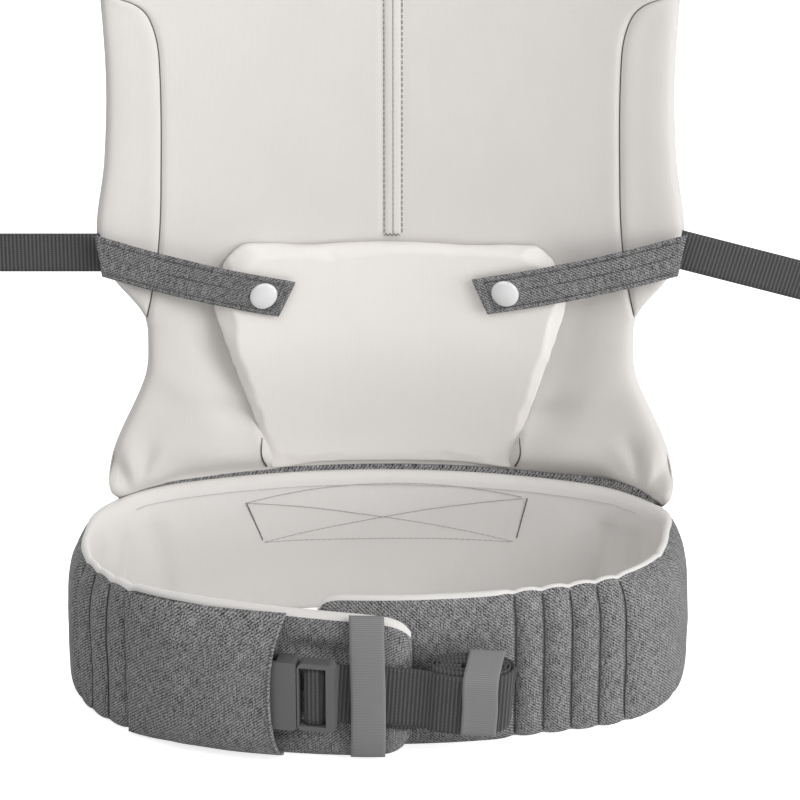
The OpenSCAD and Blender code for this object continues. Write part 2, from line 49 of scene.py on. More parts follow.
# ------------------------------------------------------------------ sizes, in mm
BELT_H = 98.0
BELT_T = 13.0
FLAT_R = 390.0
RIGHT_R = 86.0
LEFT_R = 93.981
FLAT_ANGLE = math.radians(20)
FLAT_LEN = FLAT_R * FLAT_ANGLE
LEFT_LAP = 19.0
RIGHT_LAP = 39.0
LEFT_END = 520.9
RIGHT_END = 521.4
BELT_X = -6.0
CHANNEL = 18.0
LAST_RIGHT = 398.9
LAST_LEFT = 339.9
RIGHT_SEAMS = [136, 207, 277] + [LAST_RIGHT - CHANNEL * i for i in (4, 3, 2, 1, 0)]
LEFT_SEAMS = [136, 187, 239] + [LAST_LEFT - CHANNEL * i for i in (3, 2, 1, 0)]
BUCKLE_X = -54.0
WAIST_Z = 47.7
WEB_T = 1.5


# ------------------------------------------------------------------ small helpers
def mix(a, b, t):
    return a + (b - a) * t


def clamp(t, lo=0.0, hi=1.0):
    return max(lo, min(hi, t))


def step(t):
    t = clamp(t)
    return t * t * (3 - 2 * t)


def softer_min(a, b, k):
    """The lower of two values, rounded over about k where they cross."""
    return -k * math.log(math.exp(-a / k) + math.exp(-b / k))


def bell(t, width):
    return math.exp(-(t / width) ** 2)


def through(stations, v):
    """Smooth value at v through a short list of (v, value) stations."""
    if v <= stations[0][0]:
        return stations[0][1]
    for (a, p), (b, q) in zip(stations, stations[1:]):
        if v <= b:
            return mix(p, q, (1 - math.cos(math.pi * (v - a) / (b - a))) / 2)
    return stations[-1][1]


def curve(stations, v):
    """Flowing curve at v through a list of (v, value) stations."""
    if v <= stations[0][0]:
        return stations[0][1]
    for k in range(len(stations) - 1):
        (a, p), (b, q) = stations[k], stations[k + 1]
        if v <= b:
            before, after = stations[max(k - 1, 0)], stations[min(k + 2, len(stations) - 1)]
            m0 = (q - before[1]) / max(1e-6, b - before[0])
            m1 = (after[1] - p) / max(1e-6, after[0] - a)
            h, t = b - a, (v - a) / (b - a)
            return ((2 * t ** 3 - 3 * t * t + 1) * p + (t ** 3 - 2 * t * t + t) * h * m0
                    + (3 * t * t - 2 * t ** 3) * q + (t ** 3 - t * t) * h * m1)
    return stations[-1][1]


def rough(x, y, z, scale, seed=0.0):
    """Smooth noise of about -1 to 1, with features of the given size."""
    return noise.noise(Vector((x / scale + seed, y / scale - seed, z / scale + 2 * seed)))


def spaced(a, b, n, gather=0.0):
    """n + 1 values from a to b; gather above 0 crowds them towards both ends."""
    out = []
    for i in range(n + 1):
        t = i / n
        out.append(mix(a, b, mix(t, (1 - math.cos(math.pi * t)) / 2, gather)))
    return out


def mesh_object(name, verts, faces, uvs, material):
    me = bpy.data.meshes.new(name)
    me.from_pydata((np.asarray(verts, float) * MM).tolist(), [], faces)
    me.update()
    if uvs is not None:
        layer = me.uv_layers.new(name="UVMap")
        index = np.zeros(len(me.loops), int)
        me.loops.foreach_get("vertex_index", index)
        layer.data.foreach_set("uv", (np.asarray(uvs, float)[index] * MM).astype(np.float32).ravel())
    me.polygons.foreach_set("use_smooth", [True] * len(me.polygons))
    me.materials.append(material)
    ob = bpy.data.objects.new(name, me)
    scene.collection.objects.link(ob)
    return ob


def sheet(name, points, uvs, material, flip=False):
    """Surface through a grid of points, rows by columns, with a matching grid of uv lengths."""
    points = np.asarray(points, float)
    uvs = np.asarray(uvs, float)
    rows, cols = points.shape[:2]
    faces = []
    for i in range(rows - 1):
        for j in range(cols - 1):
            a = i * cols + j
            quad = (a, a + 1, a + cols + 1, a + cols)
            faces.append(quad[::-1] if flip else quad)
    return mesh_object(name, points.reshape(-1, 3), faces, uvs.reshape(-1, 2), material)


def thicken(ob, thickness, offset=-1.0):
    m = ob.modifiers.new("cloth_thickness", "SOLIDIFY")
    m.thickness = thickness * MM
    m.offset = offset
    m.use_even_offset = False
    return ob


def rounded(ob, width, segments=3, angle=35):
    m = ob.modifiers.new("edge", "BEVEL")
    m.width = width * MM
    m.segments = segments
    m.limit_method = "ANGLE"
    m.angle_limit = math.radians(angle)
    return ob


def finish_piece(ob, body, slot, *nodes):
    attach(ob, body)
    if nodes:
        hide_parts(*nodes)
    return ob


def sewn_to_belt(ob, slot, *nodes):
    """For panel fabric whose foot is sewn to the belt: bakes its placement into the mesh and hides the CAD nodes it
    replaces, attaching it to no body.
    """
    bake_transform(ob)
    if nodes:
        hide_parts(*nodes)
    return ob


def path_lengths(points):
    out = [0.0]
    for p, q in zip(points, points[1:]):
        out.append(out[-1] + math.dist(p, q))
    return out


def smooth_path(points, rounds=3):
    """Corner-cutting, with the two ends kept."""
    for _ in range(rounds):
        new = [points[0]]
        for p, q in zip(points, points[1:]):
            new.append([mix(a, b, 0.25) for a, b in zip(p, q)])
            new.append([mix(a, b, 0.75) for a, b in zip(p, q)])
        new.append(points[-1])
        points = new
    return points


def strap(name, path, across, width, material, thickness=WEB_T, cols=8, crown=0.0):
    """Ribbon along a path. across gives the unit width direction at each fraction of the path."""
    lengths = path_lengths(path)
    points, uvs = [], []
    for i, p in enumerate(path):
        w = Vector(across(lengths[i] / lengths[-1])).normalized()
        q = path[min(i + 1, len(path) - 1)]
        o = path[max(i - 1, 0)]
        normal = (Vector(q) - Vector(o)).cross(w).normalized()
        row, uv = [], []
        for j in range(cols + 1):
            k = j / cols * 2 - 1
            row.append(Vector(p) + w * (k * width / 2) + normal * (crown * (1 - k * k)))
            uv.append((lengths[i], k * width / 2))
        points.append(row)
        uvs.append(uv)
    return thicken(sheet(name, points, uvs, material), thickness, 0.0)


def tube_mesh(path, radius, sides=6):
    verts, faces = [], []
    for i, p in enumerate(path):
        d = Vector(path[min(i + 1, len(path) - 1)]) - Vector(path[max(i - 1, 0)])
        d.normalize()
        a = d.cross(Vector((0.31, 0.87, 0.38))).normalized()
        b = d.cross(a)
        r = radius(i / (len(path) - 1)) if callable(radius) else radius
        for k in range(sides):
            t = 2 * math.pi * k / sides
            verts.append(Vector(p) + a * (r * math.cos(t)) + b * (r * math.sin(t)))
    for i in range(len(path) - 1):
        for k in range(sides):
            a, b = i * sides + k, i * sides + (k + 1) % sides
            faces.append((a, b, b + sides, a + sides))
    return verts, faces


def cord(name, path, radius, material, sides=8):
    verts, faces = tube_mesh(path, radius, sides)
    lengths = path_lengths(path)
    uvs = [(lengths[i // sides], 2.0 * (i % sides) / sides) for i in range(len(verts))]
    return mesh_object(name, verts, faces, uvs, material)


def stitches(name, runs, material, body, slot, length=2.6, pitch=3.6, radius=0.3, lift=0.15):
    """Rows of thread. Each run is (points, outward direction), and every stitch dips at its ends."""
    verts, faces = [], []
    for points, out in runs:
        lengths = path_lengths(points)
        count = int(lengths[-1] / pitch)
        out = Vector(out).normalized()

        def at(d):
            for i in range(len(points) - 1):
                if d <= lengths[i + 1] or i == len(points) - 2:
                    t = (d - lengths[i]) / max(1e-6, lengths[i + 1] - lengths[i])
                    return Vector(points[i]).lerp(Vector(points[i + 1]), clamp(t))
        for n in range(count):
            a = n * pitch + (pitch - length) / 2
            bit = []
            for t in (0.0, 0.22, 0.5, 0.78, 1.0):
                rise = lift + radius * 0.6 - radius * 1.6 * (2 * t - 1) ** 4
                bit.append(at(a + length * t) + out * rise)
            v, f = tube_mesh(bit, radius, 5)
            base = len(verts)
            verts += v
            faces += [tuple(i + base for i in quad) for quad in f]
    ob = mesh_object(name, verts, faces, [(v[0], v[2]) for v in verts], material)
    return finish_piece(ob, body, slot)


# ------------------------------------------------------------------ materials
def shader(name):
    m = bpy.data.materials.new(name)
    m.use_nodes = True
    nt = m.node_tree
    nt.nodes.clear()
    out = nt.nodes.new("ShaderNodeOutputMaterial")
    bsdf = nt.nodes.new("ShaderNodeBsdfPrincipled")
    nt.links.new(bsdf.outputs[0], out.inputs[0])
    return m, nt, bsdf


def node(nt, kind, **values):
    n = nt.nodes.new(kind)
    for key, value in values.items():
        setattr(n, key, value)
    return n


def feed(nt, target, value):
    if isinstance(value, (int, float, tuple)):
        target.default_value = value
    else:
        nt.links.new(value, target)


def maths(nt, operation, a, b=0.0, c=None):
    n = node(nt, "ShaderNodeMath", operation=operation)
    feed(nt, n.inputs[0], a)
    feed(nt, n.inputs[1], b)
    if c is not None:
        feed(nt, n.inputs[2], c)
    return n.outputs[0]


def scaled(nt, vector, x, y, z=1.0):
    n = node(nt, "ShaderNodeVectorMath", operation="MULTIPLY")
    nt.links.new(vector, n.inputs[0])
    n.inputs[1].default_value = (x, y, z)
    return n.outputs[0]


def grain(nt, vector, detail=2.0, roughness=0.5):
    n = node(nt, "ShaderNodeTexNoise")
    nt.links.new(vector, n.inputs["Vector"])
    n.inputs["Scale"].default_value = 1.0
    n.inputs["Detail"].default_value = detail
    n.inputs["Roughness"].default_value = roughness
    return n.outputs[0]


def ridges(nt, vector, x, y, sharp=1.0):
    """Wave of 0 to 1 across a direction; x and y are waves per metre."""
    dot = node(nt, "ShaderNodeVectorMath", operation="DOT_PRODUCT")
    nt.links.new(vector, dot.inputs[0])
    dot.inputs[1].default_value = (x * 2 * math.pi, y * 2 * math.pi, 0)
    wave = maths(nt, "SINE", dot.outputs["Value"])
    wave = maths(nt, "MULTIPLY_ADD", wave, 0.5, 0.5)
    return maths(nt, "POWER", wave, sharp)


def tone(nt, factor, low, high, a=0.0, b=1.0):
    ramp = node(nt, "ShaderNodeMapRange")
    nt.links.new(factor, ramp.inputs[0])
    for i, v in ((1, a), (2, b), (3, 0.0), (4, 1.0)):
        ramp.inputs[i].default_value = v
    blend = node(nt, "ShaderNodeMix", data_type="RGBA")
    nt.links.new(ramp.outputs[0], blend.inputs[0])
    blend.inputs[6].default_value = (*low, 1)
    blend.inputs[7].default_value = (*high, 1)
    return blend.outputs[2]


def relief(nt, bsdf, height, strength, distance):
    bump = node(nt, "ShaderNodeBump")
    bump.inputs["Strength"].default_value = strength
    bump.inputs["Distance"].default_value = distance * MM
    nt.links.new(height, bump.inputs["Height"])
    nt.links.new(bump.outputs[0], bsdf.inputs["Normal"])


def grey(v, warm=0.0):
    return (v * (1 + warm), v, v * (1 - warm))


def melange(name, low, high):
    """Heathered twill: diagonal ribs broken into short stitches, with streaks of lighter and darker yarn."""
    m, nt, bsdf = shader(name)
    uv = node(nt, "ShaderNodeTexCoord").outputs["UV"]
    weft = grain(nt, scaled(nt, uv, 260, 1500), 2.0, 0.6)
    warp = grain(nt, scaled(nt, uv, 1500, 130), 2.0, 0.6)
    speck = grain(nt, scaled(nt, uv, 1350, 1350), 2.0, 0.7)
    cloud = grain(nt, scaled(nt, uv, 45, 45), 2.0)
    diagonal = ridges(nt, uv, 390, -467)
    cross = ridges(nt, uv, 560, 430)
    yarns = maths(nt, "ADD", maths(nt, "MULTIPLY", weft, 0.36), maths(nt, "MULTIPLY", warp, 0.42))
    yarns = maths(nt, "ADD", yarns, maths(nt, "MULTIPLY", speck, 0.60))
    yarns = maths(nt, "ADD", yarns, maths(nt, "MULTIPLY", cloud, 0.05))
    twill = maths(nt, "ADD", maths(nt, "MULTIPLY", diagonal, 0.13), maths(nt, "MULTIPLY", cross, 0.05))
    total = maths(nt, "ADD", yarns, twill)
    nt.links.new(tone(nt, total, low, high, 0.695, 0.94), bsdf.inputs["Base Color"])
    bsdf.inputs["Roughness"].default_value = 0.92
    bsdf.inputs["Sheen Weight"].default_value = 0.08
    bsdf.inputs["Sheen Roughness"].default_value = 0.5
    bsdf.inputs["Specular IOR Level"].default_value = 0.12
    relief(nt, bsdf, total, 0.45, 0.5)
    return m


def jersey(name, colour, dark=0.95):
    """Knitted lining with faint upright wales."""
    m, nt, bsdf = shader(name)
    uv = node(nt, "ShaderNodeTexCoord").outputs["UV"]
    cloud = grain(nt, scaled(nt, uv, 22, 16), 3.0, 0.55)
    nap = grain(nt, scaled(nt, uv, 800, 350), 2.0, 0.6)
    wales = ridges(nt, uv, 760, 0)
    total = maths(nt, "ADD", maths(nt, "MULTIPLY", cloud, 0.40), maths(nt, "MULTIPLY", nap, 0.35))
    total = maths(nt, "ADD", total, maths(nt, "MULTIPLY", wales, 0.25))
    low = tuple(c * dark for c in colour)
    nt.links.new(tone(nt, total, low, colour, 0.3, 0.7), bsdf.inputs["Base Color"])
    bsdf.inputs["Roughness"].default_value = 0.95
    bsdf.inputs["Sheen Weight"].default_value = 0.15
    bsdf.inputs["Sheen Roughness"].default_value = 0.6
    bsdf.inputs["Specular IOR Level"].default_value = 0.08
    height = maths(nt, "ADD", maths(nt, "MULTIPLY", nap, 0.35), maths(nt, "MULTIPLY", wales, 0.4))
    relief(nt, bsdf, height, 0.22, 0.3)
    return m


def webbing(name, low, high, rib=410, rows=830, strength=0.6, dash=1.6, nap_share=0.25):
    """Woven strap: rows of short floats, rib per metre along the strap and rows per metre across it."""
    m, nt, bsdf = shader(name)
    uv = node(nt, "ShaderNodeTexCoord").outputs["UV"]
    ribs = ridges(nt, uv, rib, 0, dash)
    lines = ridges(nt, uv, 0, rows, 1.0)
    nap = grain(nt, scaled(nt, uv, 900, 900), 2.0, 0.6)
    floats = maths(nt, "MULTIPLY", ribs, maths(nt, "MULTIPLY_ADD", lines, 0.75, 0.25))
    total = maths(nt, "ADD", maths(nt, "MULTIPLY", floats, 1 - nap_share), maths(nt, "MULTIPLY", nap, nap_share))
    nt.links.new(tone(nt, total, low, high, 0.10, 0.80), bsdf.inputs["Base Color"])
    bsdf.inputs["Roughness"].default_value = 0.75
    bsdf.inputs["Sheen Weight"].default_value = 0.1
    bsdf.inputs["Specular IOR Level"].default_value = 0.3
    relief(nt, bsdf, total, strength, 0.5)
    return m


def plastic(name, colour, roughness, coat=0.0):
    m, nt, bsdf = shader(name)
    spot = node(nt, "ShaderNodeTexCoord").outputs["Object"]
    speck = grain(nt, scaled(nt, spot, 1800, 1800, 1800), 2.0)
    nt.links.new(tone(nt, speck, tuple(c * 0.96 for c in colour), colour), bsdf.inputs["Base Color"])
    bsdf.inputs["Roughness"].default_value = roughness
    bsdf.inputs["Coat Weight"].default_value = coat
    relief(nt, bsdf, speck, 0.08, 0.1)
    return m


def metal(name, colour, roughness):
    m, nt, bsdf = shader(name)
    spot = node(nt, "ShaderNodeTexCoord").outputs["Object"]
    brush = grain(nt, scaled(nt, spot, 3000, 300, 300), 2.0)
    nt.links.new(tone(nt, brush, tuple(c * 0.85 for c in colour), colour), bsdf.inputs["Base Color"])
    bsdf.inputs["Metallic"].default_value = 1.0
    bsdf.inputs["Roughness"].default_value = roughness
    return m


MELANGE = melange("melange_twill", grey(0.032), grey(0.40))
# A darker copy of the same melange for the left tab: painted shade for that side's darker look under the light.
PAINTED_SHADE_MELANGE = melange("melange_painted_shade", grey(0.028), grey(0.31))
JERSEY = jersey("panel_jersey", grey(0.68, 0.036))
INSERT_JERSEY = jersey("insert_jersey", grey(0.81, 0.036))
BELT_JERSEY = jersey("belt_jersey", grey(0.75, 0.026))
STRAP = webbing("ribbed_webbing", grey(0.040), grey(0.135))
ELASTIC = webbing("elastic_band", grey(0.185), grey(0.27), rib=930, rows=0, strength=0.2, dash=1.0)
HARD = plastic("satin_plastic", grey(0.125), 0.40)
WHITE = plastic("snap_plastic", grey(0.74), 0.22, 0.4)
METAL = metal("stud_metal", grey(0.62), 0.3)
# Dark thread for the real stitching, also used for the dark cords that paint shade in seam grooves, slits and round the
# left end.
DARK_THREAD_AND_SHADE = webbing("dark_thread_and_painted_shade", grey(0.05), grey(0.12), 900, 900, 0.2)
GREY_THREAD = webbing("grey_thread", grey(0.16), grey(0.30), 900, 900, 0.2)
PALE_THREAD = webbing("pale_thread", grey(0.50), grey(0.64), 900, 900, 0.2)
FAINT_THREAD = webbing("faint_thread", grey(0.34), grey(0.46), 900, 900, 0.2)


# ------------------------------------------------------------------ plan of the belt
def belt_plan(s, d):
    """Point at signed arc length s from the back middle, d inwards from the outer face."""
    side = 1 if s >= 0 else -1
    r = RIGHT_R if side > 0 else LEFT_R
    d -= 5.0 * bell(s - 214, 26)
    a = abs(s)
    front = FLAT_LEN + r * (math.pi - 2 * FLAT_ANGLE)
    cx, cy = 0.0, BELT_T / 2 - FLAT_R
    bx, by = cx + (FLAT_R - r) * math.sin(FLAT_ANGLE), cy + (FLAT_R - r) * math.cos(FLAT_ANGLE)
    if a < FLAT_LEN:
        t, rad, ox, oy = a / FLAT_R, FLAT_R - d, cx, cy
    elif a < front:
        t, rad, ox, oy = FLAT_ANGLE + (a - FLAT_LEN) / r, r - d, bx, by
    else:
        turn = math.pi - FLAT_ANGLE
        ox, oy = bx + (r - FLAT_R) * math.sin(turn), by + (r - FLAT_R) * math.cos(turn)
        t, rad = turn + (a - front) / FLAT_R, FLAT_R - d
    return BELT_X + side * (ox + rad * math.sin(t)), oy + rad * math.cos(t)


def belt_out(s):
    """Unit direction pointing out of the belt at s."""
    a, b = belt_plan(s, 0), belt_plan(s, 1)
    return Vector((a[0] - b[0], a[1] - b[1], 0)).normalized()


def left_s(x):
    """Arc length of the left end's face at x."""
    return -(LEFT_END - LEFT_LAP + FLAT_R * math.asin((x - BELT_X) / FLAT_R))


def right_s(x):
    return RIGHT_END - RIGHT_LAP - FLAT_R * math.asin((x - BELT_X) / FLAT_R)


LEFT_FACE = belt_plan(left_s(0.0), 0)[1]
ALL_SEAMS = sorted([-s for s in LEFT_SEAMS] + RIGHT_SEAMS + [0])


def channel(s):
    """0 on a stitch line and 1 in the middle of the channel between two of them."""
    edges = [-LEFT_END - 30] + ALL_SEAMS + [RIGHT_END + 40]
    for a, b in zip(edges, edges[1:]):
        if a <= s <= b:
            near = min(s - a, b - s)
            return clamp(math.sin(min(1.0, near / min(9.25, (b - a) / 2)) * math.pi / 2)) ** 0.6
    return 1.0


def seam_depth(s):
    """Strength of the nearest stitch line: the back ones are faint, the front ones deep."""
    if s > 300:
        return 4.0
    if s < -270:
        return 4.4
    return 0.8


def seam_pull(s):
    near = min(abs(s - k) for k in ALL_SEAMS if abs(k) > 250)
    return math.exp(-(near / 3.6) ** 2)


RIM_STATIONS = [(-521, 1.6), (-401, 1.6), (-341, 5.0), (-306, 7.0), (-246, 6.0), (-200, 0.8), (196, 0.8),
                (240, 8.0), (324, 9.4), (398, 9.4), (412, 7.4), (522, 7.2)]
FOOT_STATIONS = [(-521, 0.9), (-300, 0.9), (200, 0.9), (324, 1.2), (398, 1.4), (412, 0.7), (522, 0.7)]


def rim_z(s):
    """Height of the belt's top edge."""
    z = BELT_H - 1.5 * seam_pull(s)
    if s < 0:
        e = max(0.0, s + LEFT_END)
        return z + 1.6 * bell(e - 140, 75) - 9 * math.exp(-e / 6) - 7 * math.exp(-e / 60)
    e = max(0.0, RIGHT_END - s)
    return z - 9 * math.exp(-e / 3.5)


def foot_z(s):
    z = 0.0 + 1.2 * seam_pull(s)
    if s < 0:
        e = max(0.0, s + LEFT_END)
        return z + 14 * math.exp(-e / 6)
    e = max(0.0, RIGHT_END - s)
    return z + 12 * math.exp(-e / 6)


def end_pinch(s):
    """1 along the belt, falling to about 0.25 right at its two ends."""
    e = min(s + LEFT_END, RIGHT_END - s)
    return 1 - 0.75 * math.exp(-max(0.0, e) / 3.5)


def squeeze(s, d):
    k = end_pinch(s)
    return BELT_T / 2 + (d - BELT_T / 2) * k


def tuck(s, z):
    """How far the wall leans in above the middle: most at the right back corner, where the panel holds it."""
    high = step((z - 40) / 55)
    return (2.2 * bell(s - 226, 42) + 1.5 * bell(s + 236, 40)) * high


def flare(s):
    """How far the wall and its foot stand out round the corners."""
    return 2.6 * bell(abs(s) - 245, 85) + 2.6 * bell(s - 306, 52)


def outer_point(s, v):
    """Outer face; v runs from -1 at the foot seam to 1 at the rim seam."""
    top_d = through(RIM_STATIONS, s)
    crest = min((BELT_T - top_d) / 2, 4.0)
    z0, z1 = foot_z(s) + through(FOOT_STATIONS, s), rim_z(s) - crest * 0.8
    z = mix(z0, z1, (v + 1) / 2)
    edge = top_d if v > 0 else 2.6
    d = edge * abs(v) ** (4.5 if v > 0 else 14.0) + seam_depth(s) * (1 - channel(s)) * (1 - abs(v) ** 10)
    d += tuck(s, z) - flare(s) * (1 - max(0.0, v) ** 10)
    if s < -LEFT_END + 110:
        x = belt_plan(s, 0)[0]
        along = step((x + 70) / 10) * step((-8 - x) / 12)
        d += 3.4 * bell(z - 71 + 0.10 * (x + 40), 6.0) * along + 1.6 * bell(z - 22, 5) * along
    d += 1.2 * bell(s - right_s(2.0), 1.5) * (1 - v * v)
    x, y = belt_plan(s, 0)
    d -= 0.9 * rough(x, y, z, 42, 3.1) * (1 - v * v) + 0.35 * rough(x, y, z, 14, 7.7) * (1 - v ** 4)
    x, y = belt_plan(s, squeeze(s, d))
    return x, y, z


def inner_depth(s, z):
    """Depth of the lining's face at height z."""
    x, y = belt_plan(s, BELT_T)
    fade = clamp(min(z, BELT_H - z) / 22)
    quilted = step((abs(s) - 262) / 20)
    puff = 0.9 * fade - 1.1 * (1 - channel(s)) * fade * quilted - tuck(s, z) * 1.0
    puff += 1.2 * rough(x, y, z, 55, 1.4) * fade
    crease = 4.2 * bell(abs(s) - 156 - 0.20 * (z - 50), 8) + 3.0 * bell(abs(s) - 190 + 0.1 * (z - 40), 6)
    crease += 3.0 * bell(abs(s) - 219 - 0.1 * (z - 60), 5)
    return BELT_T + puff - crease * fade + 2 * tuck(s, z)


def inner_point(s, v):
    """Lining, from the rim seam (0) over the rim and down the inside to the foot seam (1)."""
    top_d = through(RIM_STATIONS, s)
    crest = min((BELT_T - top_d) / 2, 4.0)
    # The lining rolls gently inwards at the back and on the left, and more tightly on the right.
    soft = mix(20.0, crest, step((s - 190) / 50))
    rim, foot = rim_z(s), foot_z(s)
    mid = (top_d + BELT_T) / 2
    half = (BELT_T - top_d) / 2
    if v < 0.12:
        t = math.pi * (1 - v / 0.12)
        drop = crest if t > math.pi / 2 else soft
        z = rim - drop * (1 - math.sin(t) ** 0.8 if v > 0 else 1)
        d = mid + half * math.cos(t) + tuck(s, z)
    elif v < 0.9:
        t = (v - 0.12) / 0.78
        z = mix(rim - soft, foot + 3, t)
        d = inner_depth(s, z) + (BELT_T + tuck(s, z) - inner_depth(s, rim - soft)) * (1 - t) ** 12
    else:
        t = (v - 0.9) / 0.1
        d = mix(BELT_T, 3.6 - flare(s), t)
        z = mix(foot + 3 - 3.0 * math.sin(t * math.pi * 0.75) / 1.0, foot + through(FOOT_STATIONS, s), t)
    x, y = belt_plan(s, squeeze(s, d))
    return x, y, z


def belt_rows():
    edges = [-LEFT_END, -LEFT_END + 4, -LEFT_END + 14] + ALL_SEAMS + [RIGHT_END - 14, RIGHT_END - 4, RIGHT_END]
    out = []
    for a, b in zip(edges, edges[1:]):
        n = max(3, int((b - a) / 2.4)) if b - a < 25 else int((b - a) / 4.5)
        out += spaced(a, b, n, 0.7)[:-1]
    return out + [RIGHT_END]


S_ROWS = belt_rows()


def make_belt():
    heights = [-1 + 2 * j / 34 for j in range(35)]
    heights = [math.copysign(abs(v) ** 0.8, v) for v in heights]
    pts = [[outer_point(s, v) for v in heights] for s in S_ROWS]
    uvs = [[(abs(s), v * 50) for v in heights] for s in S_ROWS]
    cover = sheet("belt_cover", pts, uvs, MELANGE, flip=True)
    finish_piece(cover, "belt", "melange_fabric", "belt_outer_fabric", "belt_foam")
    turns = [0.12 * i / 8 for i in range(8)] + [0.12 + 0.78 * i / 34 for i in range(34)]
    turns += [0.9 + 0.1 * i / 5 for i in range(6)]
    pts = [[inner_point(s, v) for v in turns] for s in S_ROWS]
    uvs = [[(s, v * 115) for v in turns] for s in S_ROWS]
    lining = sheet("belt_inside", pts, uvs, BELT_JERSEY, flip=True)
    finish_piece(lining, "belt", "belt_jersey", "belt_lining")
    # The two short closing faces at the belt's ends.
    for name, s in (("belt_tip_left", -LEFT_END), ("belt_tip_right", RIGHT_END)):
        rows, uv = [], []
        for j in range(25):
            v = -1 + 2 * j / 24
            a = Vector(outer_point(s, v))
            z = a.z
            d = squeeze(s, BELT_T)
            x, y = belt_plan(s, d)
            b = Vector((x, y, z))
            out = Vector(belt_plan(s, 0) + (0,)) - Vector(belt_plan(s - math.copysign(1, s), 0) + (0,))
            rows.append([a, a.lerp(b, 0.5) + out * 0.9, b])
            uv.append([(0, z), (2, z), (4, z)])
        tip = sheet(name, rows, uv, MELANGE, flip=s > 0)
        finish_piece(tip, "belt", "melange_fabric")


def make_tip_edge():
    """Dark cord round the left end, where its outer fabric and lining meet: partly the seam, partly painted contact
    shadow against the right layer.
    """
    s = -LEFT_END
    out = Vector(belt_plan(s, 0) + (0,)) - Vector(belt_plan(s + 1, 0) + (0,))
    line = []
    for v in spaced(-0.98, 0.94, 50):
        a = Vector(outer_point(s, v))
        b = Vector(belt_plan(s, squeeze(s, BELT_T)) + (a.z,))
        line.append(a.lerp(b, 0.62) + out * 1.1)
    finish_piece(cord("belt_tip_seam_shadow", line, 0.75, DARK_THREAD_AND_SHADE, 8), "belt", "melange_fabric")


def make_panel_strip():
    """Band of outer fabric that joins the panel to the belt, standing just behind the rim."""
    reach = 182
    rows, uvs = [], []
    for i in range(141):
        s = mix(-reach + 2, reach + 14, i / 140)
        fade = step((reach + (14 if s > 0 else -2) - abs(s)) / 26)
        tall = (2.3 + 1.5 * bell(abs(s) - 150, 26) + 2.4 * bell(s - 184, 18)) * fade
        row, uv = [], []
        for d, z in ((4.2, 95.0), (3.8, 97.6), (3.3, 98.2 + tall * 0.75), (2.4, 98.4 + tall),
                     (0.8, 98.2 + tall), (-0.3, 97.4), (-0.3, 94.0)):
            x, y = belt_plan(s, d + tuck(s, z) + 0.25 * rough(s, 0, z, 11, 4.0))
            row.append((x, y, z))
            uv.append((s, z + d))
        rows.append(row)
        uvs.append(uv)
    strip = sheet("panel_join", rows, uvs, MELANGE)
    finish_piece(strip, "belt", "piping", "belt_piping")


# ------------------------------------------------------------------ pocket, keeper, webbing
POCKET_SEAM = LAST_LEFT + 1.5


def pocket_point(t, v):
    """t from the sewn edge (0) to the open mouth (1), v from foot (-1) to rim (1)."""
    mouth_x = -69.0 + 7.0 * max(0.0, v) ** 2.2 + 4.5 * max(0.0, -v) ** 2.2
    s0, s1 = -POCKET_SEAM, left_s(mouth_x)
    s = mix(s0, s1, t)
    z = 49 + v * 47.8
    rise = through([(0.0, 0.0), (0.12, 4.0), (0.42, 15.5), (0.75, 18.6), (1.0, 18.4)], t)
    shape = (1 - abs(v) ** 3.4) ** 0.62
    x, y = belt_plan(s, 0)
    h = 1.0 + rise * shape + 0.8 * rough(x, y, z, 30, 5.2) * shape * step(t * 4)
    h += 1.1 * bell(v - 0.45 - 0.25 * t, 0.10) * step(t * 2) - 0.9 * bell(v + 0.30 + 0.2 * t, 0.12) * step(t * 2)
    x, y = belt_plan(s, -h)
    return x, y, z


def make_pocket():
    ts = spaced(0, 1, 44, 0.3)
    vs = [math.copysign(abs(v) ** 0.85, v) for v in spaced(-1, 1, 40)]
    pts = [[pocket_point(t, v) for v in vs] for t in ts]
    uvs = [[(POCKET_SEAM + t * 94, v * 49) for v in vs] for t in ts]
    pocket = thicken(sheet("socket_pocket", pts, uvs, MELANGE, flip=True), 1.5, -1.0)
    finish_piece(pocket, "belt", "melange_fabric", "buckle_pocket")
    hem = []
    for v in spaced(-0.97, 0.97, 40):
        p, q = Vector(pocket_point(1.0, v)), Vector(pocket_point(0.965, v))
        hem.append(p.lerp(q, 0.3))
    lip = cord("pocket_hem", hem[1:-1], lambda t: 0.9 * min(1.0, 0.3 + 6 * t * (1 - t)), MELANGE)
    finish_piece(lip, "belt", "melange_fabric")


def make_keeper():
    x0, x1 = -24.0, -3.0
    rows, uvs = [], []
    for i in range(61):
        v = 1 - 2 * i / 60
        z = 49.5 + v * 47.2
        stand = 1.2 + 6.6 * (1 - abs(v) ** 4.5) ** 0.9
        if v > 0.97:
            stand = 1.0
        row, uv = [], []
        for j in range(13):
            x = mix(x0, x1, j / 12) + 0.5 * math.sin(z / 21)
            edge = abs(j / 6 - 1)
            y = belt_plan(left_s(x), 0)[1] - stand + 0.25 * edge ** 6
            row.append((x, y, z))
            uv.append((z, x))
        rows.append(row)
        uvs.append(uv)
    band = thicken(sheet("wide_keeper", rows, uvs, ELASTIC), 1.2, 0.0)
    finish_piece(band, "belt", "elastic", "waist_keeper")


def sloped(x, y, z, angle):
    """Turns a point of the waist webbing down to the right about the buckle."""
    c, s = math.cos(math.radians(angle)), math.sin(math.radians(angle))
    dx, dz = x - BUCKLE_X, z - WAIST_Z
    return [BUCKLE_X + dx * c + dz * s, y, WAIST_Z - dx * s + dz * c]


